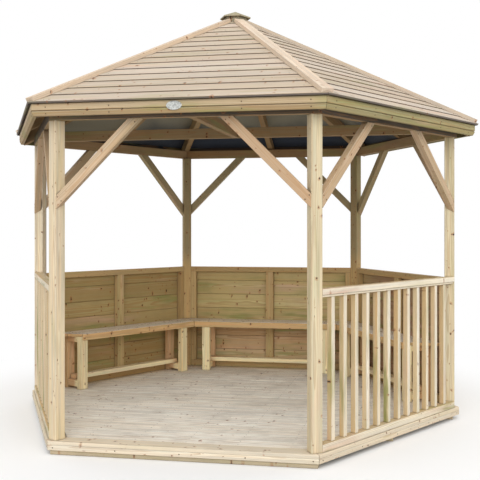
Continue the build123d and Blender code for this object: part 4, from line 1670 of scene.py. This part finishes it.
    @staticmethod
    def bench_screws(turned):
        """Screws through the seat boards into the leg frames of one bench."""
        screws = []
        quarter = (WALL_INNER - SEAT_FRONT) / 4
        for way in (-1, 1):
            for step in SEAT_SCREW_LINES:
                for off in (-SEAT_SCREW_SPREAD, SEAT_SCREW_SPREAD):
                    flat = SEAT_FRONT + step * quarter
                    point = Vector((way * LEG_OFFSET + off, -flat, SEAT_TOP))
                    screws.append((turned @ point, Vector((0, 0, 1))))
        return screws

    @staticmethod
    def oval_plate(sizes, material):
        """Plain oval plate with a rolled rim, in the middle of the front fascia."""
        centre = Vector((0, -FASCIA_OUTER, (low("fascia").z + EAVE_Z) / 2 + PLATE_LIFT))
        solid = bmesh.new()
        loops = []
        for share, rise in PLATE_RINGS:
            loop = []
            for step in range(PLATE_STEPS):
                angle = 2 * pi * step / PLATE_STEPS
                x = share * sizes.plate_width / 2 * cos(angle)
                z = share * sizes.plate_height / 2 * sin(angle)
                loop.append(solid.verts.new(centre + Vector((x, -rise, z))))
            loops.append(loop)
        for near, far in zip(loops, loops[1:]):
            for step in range(PLATE_STEPS):
                after = (step + 1) % PLATE_STEPS
                solid.faces.new((near[step], near[after], far[after], far[step]))
        solid.faces.new(list(reversed(loops[0])))
        solid.faces.new(loops[-1])
        bmesh.ops.recalc_face_normals(solid, faces=solid.faces)
        mesh = bpy.data.meshes.new("oval_plate")
        solid.to_mesh(mesh)
        solid.free()
        show(mesh, "oval_plate", (), material)


class GAZEBO_OT_stage(bpy.types.Operator):
    """Set the studio floor, the lamps, the world and the camera"""

    bl_idname = "gazebo.stage"
    bl_label = "Stage"

    def execute(self, context):
        self.ground()
        self.lamps()
        self.world()
        self.camera()
        context.scene.view_settings.view_transform = "Standard"
        return {"FINISHED"}

    @staticmethod
    def ground():
        """Large pale floor that keeps the shadow and fades to plain white far out."""
        mesh = bpy.data.meshes.new("studio_floor")
        ways = ((-1, -1), (1, -1), (1, 1), (-1, 1))
        corners = [(x * FLOOR_REACH, y * FLOOR_REACH, 0) for x, y in ways]
        mesh.from_pydata(corners, [], [(0, 1, 2, 3)])
        floor = bpy.data.objects.new("studio_floor", mesh)
        bpy.context.scene.collection.objects.link(floor)
        material = bpy.data.materials.new("studio_floor")
        material.use_nodes = True
        tree = material.node_tree
        tree.nodes.clear()
        w = Wires(tree)
        place = w.add("ShaderNodeTexCoord").outputs["Object"]
        far = w.span(w.vector("LENGTH", place, out="Value"), *FLOOR_FADE)
        seen = w.add("ShaderNodeLightPath").outputs["Is Camera Ray"]
        pale = linear(settings()[1].ground)
        shade = w.mix(seen, FLOOR_BOUNCE, pale)
        matt = w.add("ShaderNodeBsdfDiffuse", {"Color": shade}).outputs[0]
        white = w.add("ShaderNodeEmission", {"Color": (1, 1, 1, 1), "Strength": 1.0}).outputs[0]
        blend = w.add("ShaderNodeMixShader", {0: w.math("MULTIPLY", far, seen), 1: matt, 2: white})
        w.add("ShaderNodeOutputMaterial", {"Surface": blend.outputs[0]})
        mesh.materials.append(material)

    @staticmethod
    def lamps():
        """Two wide soft suns from the front: a high one and a slightly stronger low one."""
        for name, energy, angle, towards in SUNS:
            data = bpy.data.lights.new(name, "SUN")
            data.energy = energy
            data.angle = radians(angle)
            sun = bpy.data.objects.new(name, data)
            sun.rotation_euler = Vector(towards).to_track_quat("-Z", "Y").to_euler()
            bpy.context.scene.collection.objects.link(sun)

    @staticmethod
    def world():
        """White behind everything; a softer white sky as light."""
        world = bpy.data.worlds.new("studio")
        bpy.context.scene.world = world
        world.use_nodes = True
        tree = world.node_tree
        tree.nodes.clear()
        w = Wires(tree)
        rays = w.add("ShaderNodeLightPath").outputs
        direct = w.math("MAXIMUM", rays["Is Camera Ray"], rays["Is Glossy Ray"])
        direct = w.math("MAXIMUM", direct, rays["Is Transmission Ray"])
        strength = w.span(direct, 0.0, 1.0, SKY_STRENGTH, 1.0)
        sky = w.add("ShaderNodeBackground", {"Color": (1, 1, 1, 1), "Strength": strength})
        w.add("ShaderNodeOutputWorld", {"Surface": sky.outputs[0]})

    @staticmethod
    def camera():
        """Camera at a standing adult's chest height, off the front right corner."""
        data = bpy.data.cameras.new("camera")
        data.sensor_width = 36.0
        data.lens = CAMERA_LENS
        data.shift_x, data.shift_y = CAMERA_SHIFT
        camera = bpy.data.objects.new("camera", data)
        camera.location = CAMERA_PLACE
        camera.rotation_euler = (radians(90), 0, CAMERA_TURN)
        bpy.context.scene.collection.objects.link(camera)
        bpy.context.scene.camera = camera


class GAZEBO_PT_panel(bpy.types.Panel):
    """Lists the pieces of the gazebo with their sizes and colours"""

    bl_idname = "GAZEBO_PT_panel"
    bl_label = "Gazebo"
    bl_space_type = "VIEW_3D"
    bl_region_type = "UI"
    bl_category = "Gazebo"

    def draw(self, context):
        for operator in OPERATORS:
            self.layout.operator(operator.bl_idname)
        for group in (context.scene.gazebo_sizes, context.scene.gazebo_colours):
            column = self.layout.column(align=True)
            for key in group.bl_rna.properties.keys():
                if key not in ("rna_type", "name"):
                    column.prop(group, key)


OPERATORS = (
    GAZEBO_OT_floor,
    GAZEBO_OT_posts,
    GAZEBO_OT_roof_timbers,
    GAZEBO_OT_roof_boards,
    GAZEBO_OT_roof_trim,
    GAZEBO_OT_walls,
    GAZEBO_OT_balustrades,
    GAZEBO_OT_benches,
    GAZEBO_OT_fixings,
    GAZEBO_OT_stage,
)
CLASSES = (GazeboSizes, GazeboColours, *OPERATORS, GAZEBO_PT_panel)


def register():
    for item in CLASSES:
        bpy.utils.register_class(item)
    bpy.types.Scene.gazebo_sizes = bpy.props.PointerProperty(type=GazeboSizes)
    bpy.types.Scene.gazebo_colours = bpy.props.PointerProperty(type=GazeboColours)


def unregister():
    del bpy.types.Scene.gazebo_colours
    del bpy.types.Scene.gazebo_sizes
    for item in reversed(CLASSES):
        bpy.utils.unregister_class(item)


def main():
    """Builds the whole gazebo."""
    register()
    for operator in OPERATORS:
        area, name = operator.bl_idname.split(".")
        getattr(getattr(bpy.ops, area), name)()


if __name__ == "__main__":
    main()
